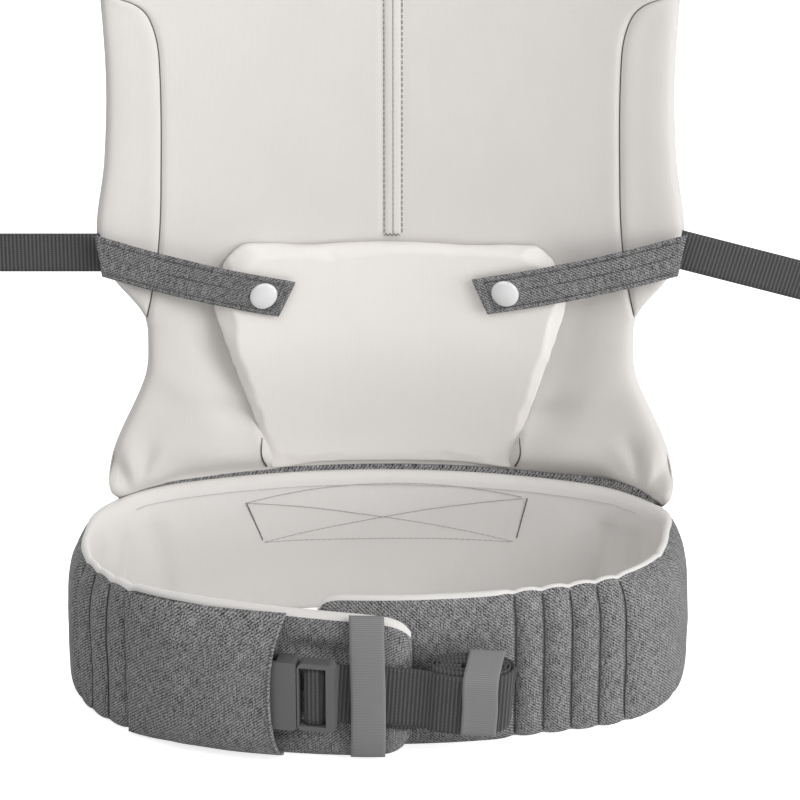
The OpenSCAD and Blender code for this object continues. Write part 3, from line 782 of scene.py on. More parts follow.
BUCKLE_TURN = math.radians(10)
BUCKLE_Y = belt_plan(left_s(BUCKLE_X - 20), 0)[1] - 20 * math.tan(BUCKLE_TURN)
PLUG_STEP = 9.2
BAR_X = (1.6 + 7.6 + 0.42 * 38 - 5.4) / 2


def at_buckle(x, y, z=0.0, off=PLUG_STEP):
    c, s = math.cos(BUCKLE_TURN), math.sin(BUCKLE_TURN)
    y -= off
    return [BUCKLE_X + x * c + y * s, BUCKLE_Y - x * s + y * c, WAIST_Z + z]


def across_slope(angle):
    a = math.radians(angle)
    return lambda t: (math.sin(a), 0, math.cos(a))


def make_waist_webbing():
    turns = [math.pi / 2 + math.pi * 2 * i / 40 for i in range(41)]
    wrap = [at_buckle(BAR_X + 2.6 * math.cos(t) + math.copysign(2.5, math.cos(t)), 2.15 * math.sin(t)) for t in turns]
    ring = strap("bar_wrap", wrap, lambda t: (0, 0, 1), 37.6, STRAP, 1.3)
    finish_piece(ring, "belt", "webbing")
    y = LEFT_FACE
    under = [[76, belt_plan(right_s(76), 0)[1] - 0.6], [60, belt_plan(right_s(60), 0)[1] - 1.6],
             [30, y + 9.5], [15.5, y - 0.8], [0, y - 1.6], [-20, y - 1.4], [-34, y - 1.2]]
    low = [sloped(x, yy, WAIST_Z, 7) for x, yy in smooth_path(under, 3)]
    anchor = strap("anchor_strap", low, across_slope(7), 38, STRAP, WEB_T)
    finish_piece(anchor, "belt", "webbing", "waist_webbing")
    riser = [at_buckle(BAR_X + 5.0, 1.0), at_buckle(BAR_X + 9.0, 4.6), at_buckle(BAR_X + 14.5, 5.6),
             [-33.0, y - 1.4, WAIST_Z]]
    front = [at_buckle(BAR_X + 5.0, -1.6), at_buckle(BAR_X + 8.0, 1.8), at_buckle(BAR_X + 13.5, 4.4),
             [-32.0, y - 3.2, WAIST_Z - 0.8]]
    for name, path in (("under_plug_strap", riser), ("under_plug_tail", front)):
        bit = strap(name, smooth_path(path, 3), lambda t: (0.04, 0, 1), 37.6, STRAP, 1.3)
        finish_piece(bit, "belt", "webbing")


ROLL_C = (48.0, LEFT_FACE - 3.2)
ROLL_A = 27.0
ROLL_B = 9.4
TAIL_SLOPE = 3.5


ROLL_TURNS = 3.1
ROLL_PITCH = 2.4
ROLL_LEAN = 0.60
ROLL_SKEW = 0.22


def roll_plan(i, n=170):
    t = math.radians(215 + i / n * ROLL_TURNS * 360)
    k = 0.75 + ROLL_PITCH * ROLL_TURNS * i / n
    pull = 1 + 0.16 * math.sin(2.1 * t + 0.6) * (i / n)
    return ROLL_C[0] + (ROLL_A - k) * math.cos(t), ROLL_C[1] + (ROLL_B - k) * math.sin(t) * pull


def lean_back(x, y, z, share=1.0):
    """The rolled end leans: what lies further back stands higher and further to the right."""
    back = max(0.0, y - (ROLL_C[1] - ROLL_B)) * share
    return sloped(x + ROLL_SKEW * (back - ROLL_B * share), y, z + ROLL_LEAN * back, TAIL_SLOPE)


def make_roll():
    y = LEFT_FACE
    lead = [[-37.5, y - 3.2], [-20, y - 3.2], [0, y - 3.3], [14, y - 3.4], [22, y - 5.2], list(roll_plan(0))]
    lead = smooth_path(lead, 3)
    path = [sloped(x, yy, WAIST_Z, TAIL_SLOPE) for x, yy in lead[:-1]]
    for i in range(171):
        x, yy = roll_plan(i)
        path.append(lean_back(x, yy, WAIST_Z, step(i / 26)))
    roll = strap("rolled_end", path, across_slope(TAIL_SLOPE), 38, STRAP, 1.25, 14)
    finish_piece(roll, "waist_tail", "webbing", "waist_webbing_tail")
    rows, uvs = [], []
    half_y, half_z = ROLL_B + 1.2, 19.6
    for i in range(97):
        t = 2 * math.pi * i / 96
        c, s = math.cos(t), math.sin(t)
        k = (abs(c) ** 6 + abs(s) ** 6) ** (-1 / 6)
        y0, z0 = ROLL_C[1] + half_y * c * k, half_z * s * k
        top = step((z0 + 2) / 16)
        row, uv = [], []
        for j in range(13):
            x = 43.5 + 21.5 * j / 12 + 1.2 * top
            row.append(lean_back(x, y0 - 0.25 * bell(j / 12, 0.08), WAIST_Z + z0, top))
            uv.append((i * 1.25, x))
        rows.append(row)
        uvs.append(uv)
    band = thicken(sheet("roll_band", rows, uvs, ELASTIC), 1.2, 0.0)
    finish_piece(band, "roll_keeper_body", "elastic", "roll_keeper")


# ------------------------------------------------------------------ panel
PANEL_T = 12.0
PANEL_Z = 99.5
PANEL_TOP = 445.0
SIDES = [(PANEL_Z, 171), (102, 175.5), (106, 179), (113, 181), (131, 176.7), (172, 157.8), (196, 155), (216, 157.5),
         (244, 176.5), (272, 184.5), (320, 178.5), (375, 175.8), (PANEL_TOP, 178.5)]
WING_Z = (213, 429)
WING = [(WING_Z[0], 155.4), (232, 151.3), (262, 146.5), (300, 144), (385, 143), (410, 148), (421, 158),
        (WING_Z[1], 179)]
CENTRE_LINES = (-4.1, 7.3)
INSERT_FOOT = 101.5
INSERT_TOP = 262.0
INSERT_BACK = 12.9
INSERT_CORNER = 15.0


def insert_half(z):
    """Half width of the insert: widens upwards, then tapers to a rounded top."""
    w = softer_min(83 + 0.30 * (z - 118), 116 - 0.40 * (z - 222), 3.0)
    near = z - INSERT_TOP + INSERT_CORNER
    if near > 0:
        w -= INSERT_CORNER * (1 - math.sqrt(max(0.0, 1 - (near / INSERT_CORNER) ** 2)))
    return w


def insert_level(z, d):
    """Depth d of the insert at height z: its foot is drawn back to the seam."""
    foot = 1 - step((z - INSERT_FOOT + 4) / 105)
    return mix(d, 2.8 + 0.30 * (d - INSERT_BACK), foot)


def side_at(z):
    """Half width of the panel."""
    return curve(SIDES, z)


def wing_at(z):
    """Half width of the lining's middle, between its two side wings."""
    return curve(WING, z)


def foot_pull(x):
    """How far the sewn foot of the panel is drawn forwards to follow the belt round its back corners."""
    side_r = RIGHT_R if x > BELT_X else LEFT_R
    u = min(abs(x - BELT_X), 181.0)
    start = (FLAT_R - side_r) * math.sin(FLAT_ANGLE)
    if u < FLAT_R * math.sin(FLAT_ANGLE):
        return 0.0
    bend_y = BELT_T / 2 - FLAT_R + (FLAT_R - side_r) * math.cos(FLAT_ANGLE)
    belt_y = bend_y + math.sqrt(side_r ** 2 - (u - start) ** 2)
    return min(0.0, belt_y - (BELT_T / 2 - FLAT_R + math.sqrt(FLAT_R ** 2 - u * u)))


def shell_point(x, z, depth):
    r = 540 - 150 * math.exp(-(z - 98) / 26)
    pull = foot_pull(x) * math.exp(-((z - 99.5) / 20) ** 2) if z < 160 else 0.0
    sink = 4.5 * step((abs(x) - 138) / 34) * math.exp(-((z - 99.5) / 9) ** 2) if z < 130 else 0.0
    return x, BELT_T / 2 - r + math.sqrt(max(1.0, (r - depth) ** 2 - x * x)) + pull, z - sink


def lining_depth(x, z):
    edge = max(0.0, side_at(z) - abs(x))
    d = PANEL_T - 0.2 - 4.6 * math.exp(-edge / 5.0) - 3.0 * math.exp(-edge / 0.9)
    d += 0.7 * rough(x, 0, z, 60, 2.3) + 0.25 * rough(x, 0, z, 22, 6.1)
    if z > 263:
        for k in CENTRE_LINES:
            d -= 0.9 * bell(x - k, 1.5)
        d -= 0.5 * bell(x - 1.6, 0.9)
        d += 0.8 * bell(x - 1.5, 5.0) + 0.7 * bell(z - 398, 9) * bell(x - 1.5, 12) * rough(x, 5, z, 9, 4.4)
    if WING_Z[0] < z < WING_Z[1]:
        gap = abs(x) - wing_at(z)
        d -= 1.7 * bell(gap, 1.4) - 0.3 * bell(gap - 6, 4) - 0.2 * bell(gap + 6, 4)
    # Soft hollows beside the insert, and one across the foot of each side.
    gap = abs(x) - insert_half(min(z, INSERT_TOP - 2)) if z < INSERT_TOP + 30 else 60.0
    d -= 5.5 * bell(gap - 7, 15) * bell(z - 178, 48)
    d -= 4.0 * bell(z - 140 - 0.34 * (abs(x) - 95), 9) * bell(abs(x) - 98, 24)
    d += 2.6 * bell(z - 119 - 0.12 * (abs(x) - 120), 11) * bell(abs(x) - 118, 30)
    d += 1.5 * bell(z - 160 - 0.9 * (abs(x) - 130), 12) * bell(abs(x) - 130, 20)
    d -= 0.6 * bell(z - 196 - 0.05 * abs(x), 2.4) * step((abs(x) - 128) / 22)
    d -= 0.5 * bell(z - 186, 2.2) * step((abs(x) - 132) / 20)
    # Pleats that spread from the lower corners.
    away = math.hypot(abs(x) - 163, z - 101)
    turn = math.atan2(z - 101, abs(x) - 163)
    fan = bell(away - 19, 13) * step((turn + 0.7) / 0.5) * step((2.5 - turn) / 0.7)
    d += 3.6 * fan * math.cos((turn - 0.35) * 6.2)
    # The seam to the belt pulls the lining back to the outer face.
    seam = math.exp(-((z - PANEL_Z) / mix(8.5, 5.0, step((abs(x) - 130) / 25))) ** 2)
    d = mix(d, 2.0, seam)
    # Behind the insert's foot the lining sinks with it.
    under = step((insert_half(z) + 1 - abs(x)) / 7) if z < 190 else 0.0
    d = mix(d, min(d, insert_level(z, INSERT_BACK) - 1.2), under)
    top = PANEL_TOP - z
    d -= 4.0 * math.exp(-top / 4.0)
    return d


def panel_grid(name, left, right, z0, z1, rows, cols, material):
    pts, uvs = [], []
    for z in spaced(z0, z1, rows, 0.35):
        a, b = left(z), right(z)
        row, uv = [], []
        for j in range(cols + 1):
            x = mix(a, b, j / cols)
            row.append(shell_point(x, z, lining_depth(x, z)))
            uv.append((x, z))
        pts.append(row)
        uvs.append(uv)
    return sheet(name, pts, uvs, material)


def make_panel():
    def inside(z):
        w = side_at(z) + 0.3
        return min(w, wing_at(z)) if WING_Z[0] < z < WING_Z[1] else w
    centre = panel_grid("lining_centre", lambda z: -inside(z), inside, PANEL_Z, PANEL_TOP, 110, 130, JERSEY)
    sewn_to_belt(centre, "panel_jersey", "panel_lining_centre")
    for side, name in ((-1, "left"), (1, "right")):
        wing = panel_grid("lining_wing_" + name, lambda z: side * min(wing_at(z), side_at(z)),
                          lambda z: side * (side_at(z) + 0.3), WING_Z[0] + 0.5, WING_Z[1] - 0.5, 90, 18, JERSEY)
        if side < 0:
            wing.data.flip_normals()
        finish_piece(wing, "panel", "panel_jersey", "panel_lining_" + name)
    # Outer fabric: from the lining's edge round the back.
    pts, uvs = [], []
    for z in spaced(PANEL_Z, PANEL_TOP, 100, 0.35):
        w = side_at(z) - 0.7
        top = PANEL_TOP - z
        row, uv = [], []
        for j in range(121):
            u = j / 60 - 1
            turn = clamp((abs(u) - 0.93) / 0.07)
            x = math.copysign(min(abs(u) / 0.95, 1.0), u) * w
            if turn > 0:
                a = turn * math.pi / 2
                x = math.copysign(w - 4.0 + 4.0 * math.sin(a) ** 0.7, u)
                d = 0.3 + 5.0 * (1 - math.cos(a))
            else:
                x = u / 0.93 * (w - 4.0)
                d = 0.3 + 0.9 * bell(abs(x) - 62, 2.2) + 0.6 * rough(x, 9, z, 50, 8.8) * 0.6
                d += 0.8 * bell(z - 268 + 0.0008 * x * x, 2.4)
            d += 3.4 * math.exp(-top / 4.0) * (1 - turn)
            row.append(shell_point(x, z, d))
            uv.append((u * 185, z))
        pts.append(row)
        uvs.append(uv)
    back = sheet("panel_back", pts, uvs, MELANGE, flip=True)
    sewn_to_belt(back, "melange_fabric", "panel_outer_fabric", "panel_foam")
    tape, uvs = [], []
    for z in spaced(264, 440, 60):
        row = [shell_point(x, z, lining_depth(x, z) + 0.35) for x in (-3.2, 0.0, 1.2, 2.0, 3.2, 6.4)]
        tape.append(row)
        uvs.append([(x, z) for x in (-3.2, 0.0, 1.2, 2.0, 3.2, 6.4)])
    tape = sheet("seam_tape", tape, uvs, JERSEY)
    finish_piece(tape, "panel", "belt_jersey", "centre_seam_tape")


def panel_threads():
    runs = []
    for k in CENTRE_LINES:
        runs.append(([shell_point(k, z, lining_depth(k, z)) for z in spaced(264, 441, 60)], (0, -1, 0.05)))
    stitches("centre_thread", runs, GREY_THREAD, "panel", "panel_jersey", 2.9, 3.7, 0.34, 0.25)
    runs = [([shell_point(1.6, z, lining_depth(1.6, z) + 0.4) for z in spaced(264, 441, 60)], (0, -1, 0))]
    stitches("centre_ridge_thread", runs, GREY_THREAD, "panel", "panel_jersey", 3.5, 3.6, 0.24, 0.1)
    zigzag = [shell_point(-4 + 11.4 * i / 9, 262.8 + (1.6 if i % 2 else 0), PANEL_T + 0.6) for i in range(10)]
    stitches("seam_end_thread", [(zigzag, (0, -1, 0))], GREY_THREAD, "panel", "panel_jersey", 2.0, 2.3, 0.3)
    for side, name in ((-1, "left"), (1, "right")):
        line = []
        for z in spaced(WING_Z[0] + 1, WING_Z[1] - 2, 110):
            x = side * (min(wing_at(z), side_at(z) - 1) + 0.1)
            line.append(Vector(shell_point(x, z, lining_depth(x, z) + 0.12)))
        # Dark cord along the wing seam: painted shade in the seam's groove.
        seam = cord("wing_seam_shade_" + name, line, 0.42, DARK_THREAD_AND_SHADE, 6)
        finish_piece(seam, "panel", "panel_jersey")
        # Dark cord beside the insert's foot, where its cover goes in under the lining: painted shadow in the slit.
        line = []
        for z in spaced(103, 125, 24):
            x = side * (insert_half(z) + 3.0 - 4.5 * bell(z - 127, 9))
            line.append(Vector(shell_point(x, z, lining_depth(x, z) + 0.1)))
        slit_shadow = cord("insert_slit_shadow_" + name, line, lambda t: 0.25 + 0.5 * (1 - t), DARK_THREAD_AND_SHADE, 6)
        sewn_to_belt(slit_shadow, "panel_jersey")


# ------------------------------------------------------------------ cloth pieces
def closed_pad(name, outline, front, back, inset=0.0, rows=60, cols=60):
    """Closed solid between two depth functions over an outline given as (z list, half width or x range)."""
    zs = outline["z"]
    verts, faces = [], []
    for face in (front, back):
        for z in zs:
            a, b = outline["range"](z)
            for j in range(cols + 1):
                x = mix(a + inset, b - inset, j / cols)
                verts.append(face(x, z))
    n, m = len(zs), cols + 1
    for i in range(n - 1):
        for j in range(cols):
            a = i * m + j
            faces.append((a, a + 1, a + m + 1, a + m))
            b = n * m + a
            faces.append((b + m, b + m + 1, b + 1, b))
    for j in range(cols):
        a, b = j, n * m + j
        faces.append((b, b + 1, a + 1, a))
        a, b = (n - 1) * m + j, n * m + (n - 1) * m + j
        faces.append((a, a + 1, b + 1, b))
    for i in range(n - 1):
        a, b = i * m, n * m + i * m
        faces.append((a, a + m, b + m, b))
        a, b = i * m + cols, n * m + i * m + cols
        faces.append((b, b + m, a + m, a))
    return mesh_object(name, verts, faces, None, JERSEY)


def inflate(ob, voxel, cap, pressure=4.0, pinned=None):
    """Voxel remesh, a short cloth simulation under pressure, the result applied and smoothed."""
    bpy.ops.object.select_all(action="DESELECT")
    bpy.context.view_layer.objects.active = ob
    ob.select_set(True)
    ob.data.remesh_voxel_size = voxel * MM
    bpy.ops.object.voxel_remesh()
    count = len(ob.data.vertices)
    rest = np.zeros(count * 3)
    ob.data.vertices.foreach_get("co", rest)
    rest = rest.reshape(-1, 3)
    moved = rest
    m = ob.modifiers.new("cloth", "CLOTH")
    m.settings.use_pressure = True
    m.settings.uniform_pressure_force = pressure
    m.settings.effector_weights.gravity = 0
    m.settings.quality = 4
    m.settings.mass = 0.3
    if pinned is not None:
        group = ob.vertex_groups.new(name="sewn")
        group.add([i for i, p in enumerate(rest / MM) if pinned(*p)], 1.0, "REPLACE")
        m.settings.vertex_group_mass = "sewn"
    m.point_cache.frame_start, m.point_cache.frame_end = 1, 20
    for f in range(1, 21):
        scene.frame_set(f)
    seen = ob.evaluated_get(bpy.context.evaluated_depsgraph_get())
    moved = np.zeros(count * 3)
    seen.data.vertices.foreach_get("co", moved)
    moved = moved.reshape(-1, 3)
    ob.modifiers.remove(m)
    scene.frame_set(1)
    shift = moved - rest
    size = np.linalg.norm(shift, axis=1, keepdims=True)
    shift *= np.minimum(1.0, cap * MM / np.maximum(size, 1e-9))
    ob.data.vertices.foreach_set("co", (rest + shift).ravel())
    for kind, settings in (("SMOOTH", {"factor": 0.5, "iterations": 3}), ("SUBSURF", {"levels": 1})):
        m = ob.modifiers.new(kind.lower(), kind)
        for key, value in settings.items():
            setattr(m, key, value)
        bpy.ops.object.modifier_apply(modifier=m.name)
    return ob


def cut_along(ob, level):
    """Cuts the faces of a mesh along the line where level(x, y, z) is 0."""
    bm = bmesh.new()
    bm.from_mesh(ob.data)
    value = {v: level(*(v.co / MM)) for v in bm.verts}
    fresh = set()
    for e in list(bm.edges):
        a, b = e.verts
        if value[a] * value[b] < 0:
            v = bmesh.utils.edge_split(e, a, value[a] / (value[a] - value[b]))[1]
            value[v] = 0.0
            fresh.add(v)
    for f in list(bm.faces):
        on = [v for v in f.verts if v in fresh]
        if len(on) == 2:
            bmesh.utils.face_split(f, on[0], on[1])
    bm.to_mesh(ob.data)
    bm.free()


def take_apart(ob, shape, level, front, rear):
    """Moves each point of a finished pad by shape, cuts it along level = 0 and rebuilds it as two covers.
    front, where level is positive, and rear are (name, material)."""
    for v in ob.data.vertices:
        v.co = Vector(shape(*(v.co / MM))) * MM
    cut_along(ob, level)
    verts = [Vector(v.co) / MM for v in ob.data.vertices]
    faces = [tuple(p.vertices) for p in ob.data.polygons]
    bpy.data.objects.remove(ob)
    made = []
    for (name, material), sign in ((front, 1), (rear, -1)):
        used, picked = {}, []
        for f in faces:
            if sum(level(*verts[i]) for i in f) * sign > 0:
                picked.append(tuple(used.setdefault(i, len(used)) for i in f))
        pts = [verts[i] for i in used]
        made.append(mesh_object(name, pts, picked, [(p.x, p.z) for p in pts], material))
    return made


def depth_of(x, y, z):
    r = 540 - 150 * math.exp(-(z - 98) / 26)
    pull = foot_pull(x) * math.exp(-((z - 99.5) / 20) ** 2) if z < 160 else 0.0
    return r - math.hypot(x, y - pull - BELT_T / 2 + r)


def make_insert():
    zs = spaced(INSERT_FOOT + 1, INSERT_TOP - 1, 44, 0.3)
    pad = closed_pad("insert_raw", {"z": zs, "range": lambda z: (1.2 - insert_half(z), insert_half(z) - 1.2)},
                     lambda x, z: shell_point(x, z, 20.8), lambda x, z: shell_point(x, z, 14.0))
    inflate(pad, 4.2, 6.0)
    lowest = min(v.co.z for v in pad.data.vertices) * 1000
    highest = max(v.co.z for v in pad.data.vertices) * 1000
    bands = 28

    def band(z):
        return clamp((z - lowest) / (highest - lowest)) * (bands - 1)

    def grown(z):
        return mix(INSERT_FOOT, INSERT_TOP - 1, (z - lowest) / (highest - lowest))
    widths = [1.0] * bands
    for v in pad.data.vertices:
        k = round(band(v.co.z * 1000))
        widths[k] = max(widths[k], abs(v.co.x) * 1000)
    stretch = [insert_half(grown(mix(lowest, highest, k / (bands - 1)))) / widths[k] for k in range(3, bands - 4)]
    stretch = [stretch[0]] * 3 + stretch + [stretch[-1]] * 4
    for _ in range(6):
        stretch = [(stretch[max(k - 1, 0)] + 2 * a + stretch[min(k + 1, bands - 1)]) / 4
                   for k, a in enumerate(stretch)]

    def shape(x, y, z):
        d = depth_of(x, y, z)
        # The simulated pad shrinks a little: it is drawn back out to the insert's outline.
        k = min(int(band(z)), bands - 2)
        x *= mix(stretch[k], stretch[k + 1], band(z) - k)
        z = grown(z)
        edge = max(0.0, min(insert_half(min(z, INSERT_TOP)) - abs(x), INSERT_TOP - z))
        if d > 17:
            d += 0.6 * rough(x, 3, z, 38, 9.1)
            d -= 0.8 * bell(z - 246 + 0.0012 * x * x, 9) * step(edge / 14)
            d += 0.9 * bell(abs(x) - 60 - 0.2 * (z - 180), 16) * bell(z - 200, 40)
        d = insert_level(z, clamp(d, INSERT_BACK, 23.0))
        rise = 1.6 * bell(x, 46) * step((z - 215) / 45)
        return shell_point(x, z + rise, d)

    front, rear = take_apart(pad, shape, lambda x, y, z: depth_of(x, y, z) - insert_level(z, 15.4),
                             ("insert_front", INSERT_JERSEY), ("insert_rear", BELT_JERSEY))
    finish_piece(front, "insert", "panel_jersey", "insert_cover_front", "insert_foam")
    finish_piece(rear, "insert", "belt_jersey", "insert_cover_back")


def make_head_support():
    half, z0, z1, r = 94.0, 448.0, 559.0, 30.0

    def width(z):
        return half - (r - math.sqrt(max(0.0, r * r - max(0.0, z - z1 + r) ** 2)))
    pad = closed_pad("head_raw", {"z": spaced(z0, z1 - 0.5, 30, 0.3), "range": lambda z: (-width(z), width(z))},
                     lambda x, z: shell_point(x, z, 9.8), lambda x, z: shell_point(x, z, 2.2))
    inflate(pad, 4.6, 6.0)

    def shape(x, y, z):
        d = depth_of(x, y, z)
        dip = 2.2 * bell(z - 500, 3.0) * step((94 - abs(x)) / 14)
        d += -dip if d > 6 else dip
        return shell_point(x, z, d)
    front, rear = take_apart(pad, shape, lambda x, y, z: depth_of(x, y, z) - 6.0,
                             ("head_lining", JERSEY), ("head_cover", MELANGE))
    finish_piece(front, "head_support", "panel_jersey", "head_support_lining")
    finish_piece(rear, "head_support", "melange_fabric", "head_support_cover", "head_support_foam")
    runs = [([shell_point(mix(-84, 84, i / 40), 500, 9.9) for i in range(41)], (0, -1, 0))]
    stitches("head_thread", runs, GREY_THREAD, "head_support", "panel_jersey")


LOOP_Y = -33.5
PAD_X = 370.0
PAD_BEND_X = 255.0
PAD_BEND_Z = 460.0
PAD_R = 115.0
PAD_T = 15.0


def pad_station(t):
    """Middle line of a shoulder pad, root at t = 0 and strap end at t = 1, as (x, z, width direction)."""
    rise, arc, fall = 13.0, math.pi * PAD_R, 42.0
    total = rise + arc + fall
    d = t * total
    if d < rise:
        return PAD_BEND_X - PAD_R, PAD_BEND_Z - rise + d, (1, 0)
    if d < rise + arc:
        a = math.pi - (d - rise) / PAD_R
        return (PAD_BEND_X + PAD_R * math.cos(a), PAD_BEND_Z + PAD_R * math.sin(a),
                (-math.cos(a), -math.sin(a)))
    return PAD_X, PAD_BEND_Z - (d - rise - arc), (-1, 0)


def make_pad(side, name):
    verts, faces = [], []
    n, m = 90, 10
    for y in (LOOP_Y - 4.6, LOOP_Y + 4.6):
        for i in range(n + 1):
            t = i / n
            x, z, w = pad_station(mix(0.004, 0.996, t))
            half = 33.6 * (1 - 0.42 * step((t - 0.955) / 0.045))
            for j in range(m + 1):
                k = (j / m * 2 - 1) * half
                verts.append((side * (x + w[0] * k), y, z + w[1] * k))
    s = (n + 1) * (m + 1)
    for i in range(n):
        for j in range(m):
            a = i * (m + 1) + j
            faces.append((a, a + 1, a + m + 2, a + m + 1))
            faces.append((a + s + m + 1, a + s + m + 2, a + s + 1, a + s))
        a, b = i * (m + 1), i * (m + 1) + m
        faces.append((a, a + m + 1, a + m + 1 + s, a + s))
        faces.append((b + s, b + m + 1 + s, b + m + 1, b))
    for j in range(m):
        a, b = j, n * (m + 1) + j
        faces.append((a + s, a + s + 1, a + 1, a))
        faces.append((b, b + 1, b + 1 + s, b + s))
    raw = mesh_object(name + "_pad_raw", verts, faces, None, JERSEY)
    inflate(raw, 5.0, 6.0)

    def shape(x, y, z):
        dx, dz = abs(x) - PAD_BEND_X, z - PAD_BEND_Z
        angle = math.degrees(math.atan2(dz, dx)) if dz > 0 else (0 if dx > 0 else 180)
        depth = y - LOOP_Y
        radius = math.hypot(dx, dz) if dz > 0 else abs(dx)
        inside = step((34 - abs(radius - PAD_R)) / 10)
        dip = sum(bell((angle - k) * PAD_R * math.pi / 180, 3.2) for k in (36, 72, 108, 144)) if dz > 0 else 0
        depth *= 1 - 0.42 * dip * inside
        return x, LOOP_Y + depth, z
    lining, cover = take_apart(raw, shape, lambda x, y, z: LOOP_Y - 0.5 - y,
                               (name + "_pad_inner", BELT_JERSEY), (name + "_pad_outer", MELANGE))
    body = name + "_loop"
    finish_piece(lining, body, "belt_jersey", name + "_pad_lining")
    finish_piece(cover, body, "melange_fabric", name + "_pad_cover", name + "_pad_foam")


def make_top_join(name, x0, x1, upper):
    """Fabric that joins a part to the panel's top edge. upper(x, k) is its end on that part, where k runs
    from -1 on the outer side to 1 on the lining's side."""
    for kind, material, face in (("lining", JERSEY, 1), ("cover", MELANGE, -1)):
        rows, uvs = [], []
        for i in range(13):
            t = i / 12
            row, uv = [], []
            for j in range(41):
                u = j / 20 - 1
                x = mix(x0, x1, j / 40)
                k = face * (1 - abs(u) ** 9) * (1 - 0.22 * math.sin(math.pi * t))
                low = Vector(shell_point(x, PANEL_TOP - 5, PANEL_T / 2 + k * (PANEL_T / 2 - 2.4)))
                row.append(low.lerp(Vector(upper(x, k)), t))
                uv.append((x, t * 16))
            rows.append(row)
            uvs.append(uv)
        piece = sheet("%s_join_%s" % (name, kind), rows, uvs, material, flip=face < 0)
        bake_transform(piece)


def make_top_joins():
    make_top_join("head", -91, 91, lambda x, k: shell_point(x, 454, 6.0 + 3.6 * k))
    for side, name in ((-1, "left"), (1, "right")):
        x = side * (PAD_BEND_X - PAD_R)
        make_top_join(name + "_pad", x - 30.5, x + 30.5, lambda x, k: (x, LOOP_Y + 0.2 - 5.2 * k, 453))
    # Binding over the panel's top edge.
    rows, uvs = [], []
    for x in spaced(-177.5, 177.5, 120):
        profile = [(1.6, 439), (1.5, 442), (2.4, 445), (4.2, 446.2), (6.2, 446.2), (8.2, 445), (9.6, 442), (10.6, 439)]
        rows.append([shell_point(x, z, d + 0.5) for d, z in profile])
        uvs.append([(x, d + z) for d, z in profile])
    finish_piece(sheet("panel_top_binding", rows, uvs, MELANGE), "panel", "melange_fabric")


# ------------------------------------------------------------------ tabs and caps
ROOT_Z = 261.3
TAB_ROOT = (187.0, BELT_T / 2 - 540 + math.sqrt(528 ** 2 - 187 ** 2) - 3, ROOT_Z + 2.5)
TAB_YAW = math.radians(8.7)
TAB_HALF = 12.5
TAB_BOW = 2.0
TABS = {"left": (-1, 17.4, 64.0, 80.8), "right": (1, 15.8, 54.9, 72.9)}


def tab_point(name, along, across, out):
    """along runs from the root to the free end, across is upwards, out is towards the wearer."""
    side, slope, end_x, snap_x = TABS[name]
    a = math.radians(slope)
    dx = -along * math.cos(a) - across * math.sin(a)
    dz = -along * math.sin(a) + across * math.cos(a)
    t = along / tab_length(name, snap_x)
    dz -= TAB_BOW * 4 * t * (1 - t) if t > 0 else 0.0
    x = TAB_ROOT[0] + dx * math.cos(TAB_YAW) - out * math.sin(TAB_YAW)
    y = TAB_ROOT[1] - dx * math.sin(TAB_YAW) - out * math.cos(TAB_YAW)
    return Vector((side * x, y, TAB_ROOT[2] + dz))


def tab_length(name, x):
    return (TAB_ROOT[0] - x) / math.cos(math.radians(TABS[name][1])) / math.cos(TAB_YAW)


def make_tab(name):
    side, slope, end_x, snap_x = TABS[name]
    reach = tab_length(name, end_x)
    body = "tab_" + name + "_body"
    rows, uvs = [], []
    for i in range(81):
        t = i / 80
        row, uv = [], []
        for j in range(25):
            k = j / 12 - 1
            along = mix(-2.0 + 6 * (1 - k), reach - 4 * (1 - k) / 2, t)
            edge = abs(k) ** 10
            near_end = bell(reach - along - 3.5, 3.0)
            out = 1.15 - 0.7 * edge + 0.55 * near_end - 0.35 * bell(abs(k) - 0.74, 0.09)
            out += 0.45 * rough(along, k * 12, side * 40, 18, 3.3) - 0.25 * bell(reach - along - 7.2, 0.9)
            row.append(tab_point(name, along, k * TAB_HALF, out))
            uv.append((along, k * TAB_HALF))
        rows.append(row)
        uvs.append(uv)
    # The left tab takes the darker melange copy: painted shade.
    cloth = PAINTED_SHADE_MELANGE if side < 0 else MELANGE
    band = thicken(sheet("tab_band_" + name, rows, uvs, cloth, flip=side < 0), 2.0, -1.0)
    finish_piece(band, body, "melange_fabric", "tab_" + name)
    runs = []
    out = (0, -1, 0.1)
    for k in (-9.3, 9.3):
        runs.append(([tab_point(name, a, k, 1.15) for a in spaced(4 if k > 0 else 12, reach - 7.5, 50)], out))
    runs.append(([tab_point(name, a, 0.6, 1.2) for a in spaced(11, reach - 30, 40)], out))
    runs.append(([tab_point(name, reach - 7.2 - (1 - k / 12) * 1.6, k, 1.2) for k in spaced(-11, 11, 12)], out))
    stitches("tab_thread_" + name, runs, DARK_THREAD_AND_SHADE, body, "melange_fabric", 2.3, 3.1, 0.26, 0.1)
    # Domed cap, turned about the post.
    along = tab_length(name, snap_x)
    profile = [(0.0, 4.1), (2.5, 4.0), (5.0, 3.6), (7.0, 2.95), (8.1, 2.35), (8.7, 1.75), (8.8, 1.2), (8.5, 0.75)]
    profile = smooth_path(profile, 2)
    rows, uvs = [], []
    for i in range(49):
        t = 2 * math.pi * i / 48
        rows.append([tab_point(name, along + r * math.cos(t), r * math.sin(t), 0.4 + h) for r, h in profile])
        uvs.append([(r * math.cos(t), r * math.sin(t)) for r, h in profile])
    cap = sheet("cap_" + name, rows, uvs, WHITE, flip=side > 0)
    finish_piece(cap, body, "snap_white", "snap_cap_" + name)


# ------------------------------------------------------------------ shoulder straps
SIDE_STRAPS = {"left": (-1, 0.0, 66.0), "right": (1, 15.0, 60.0)}


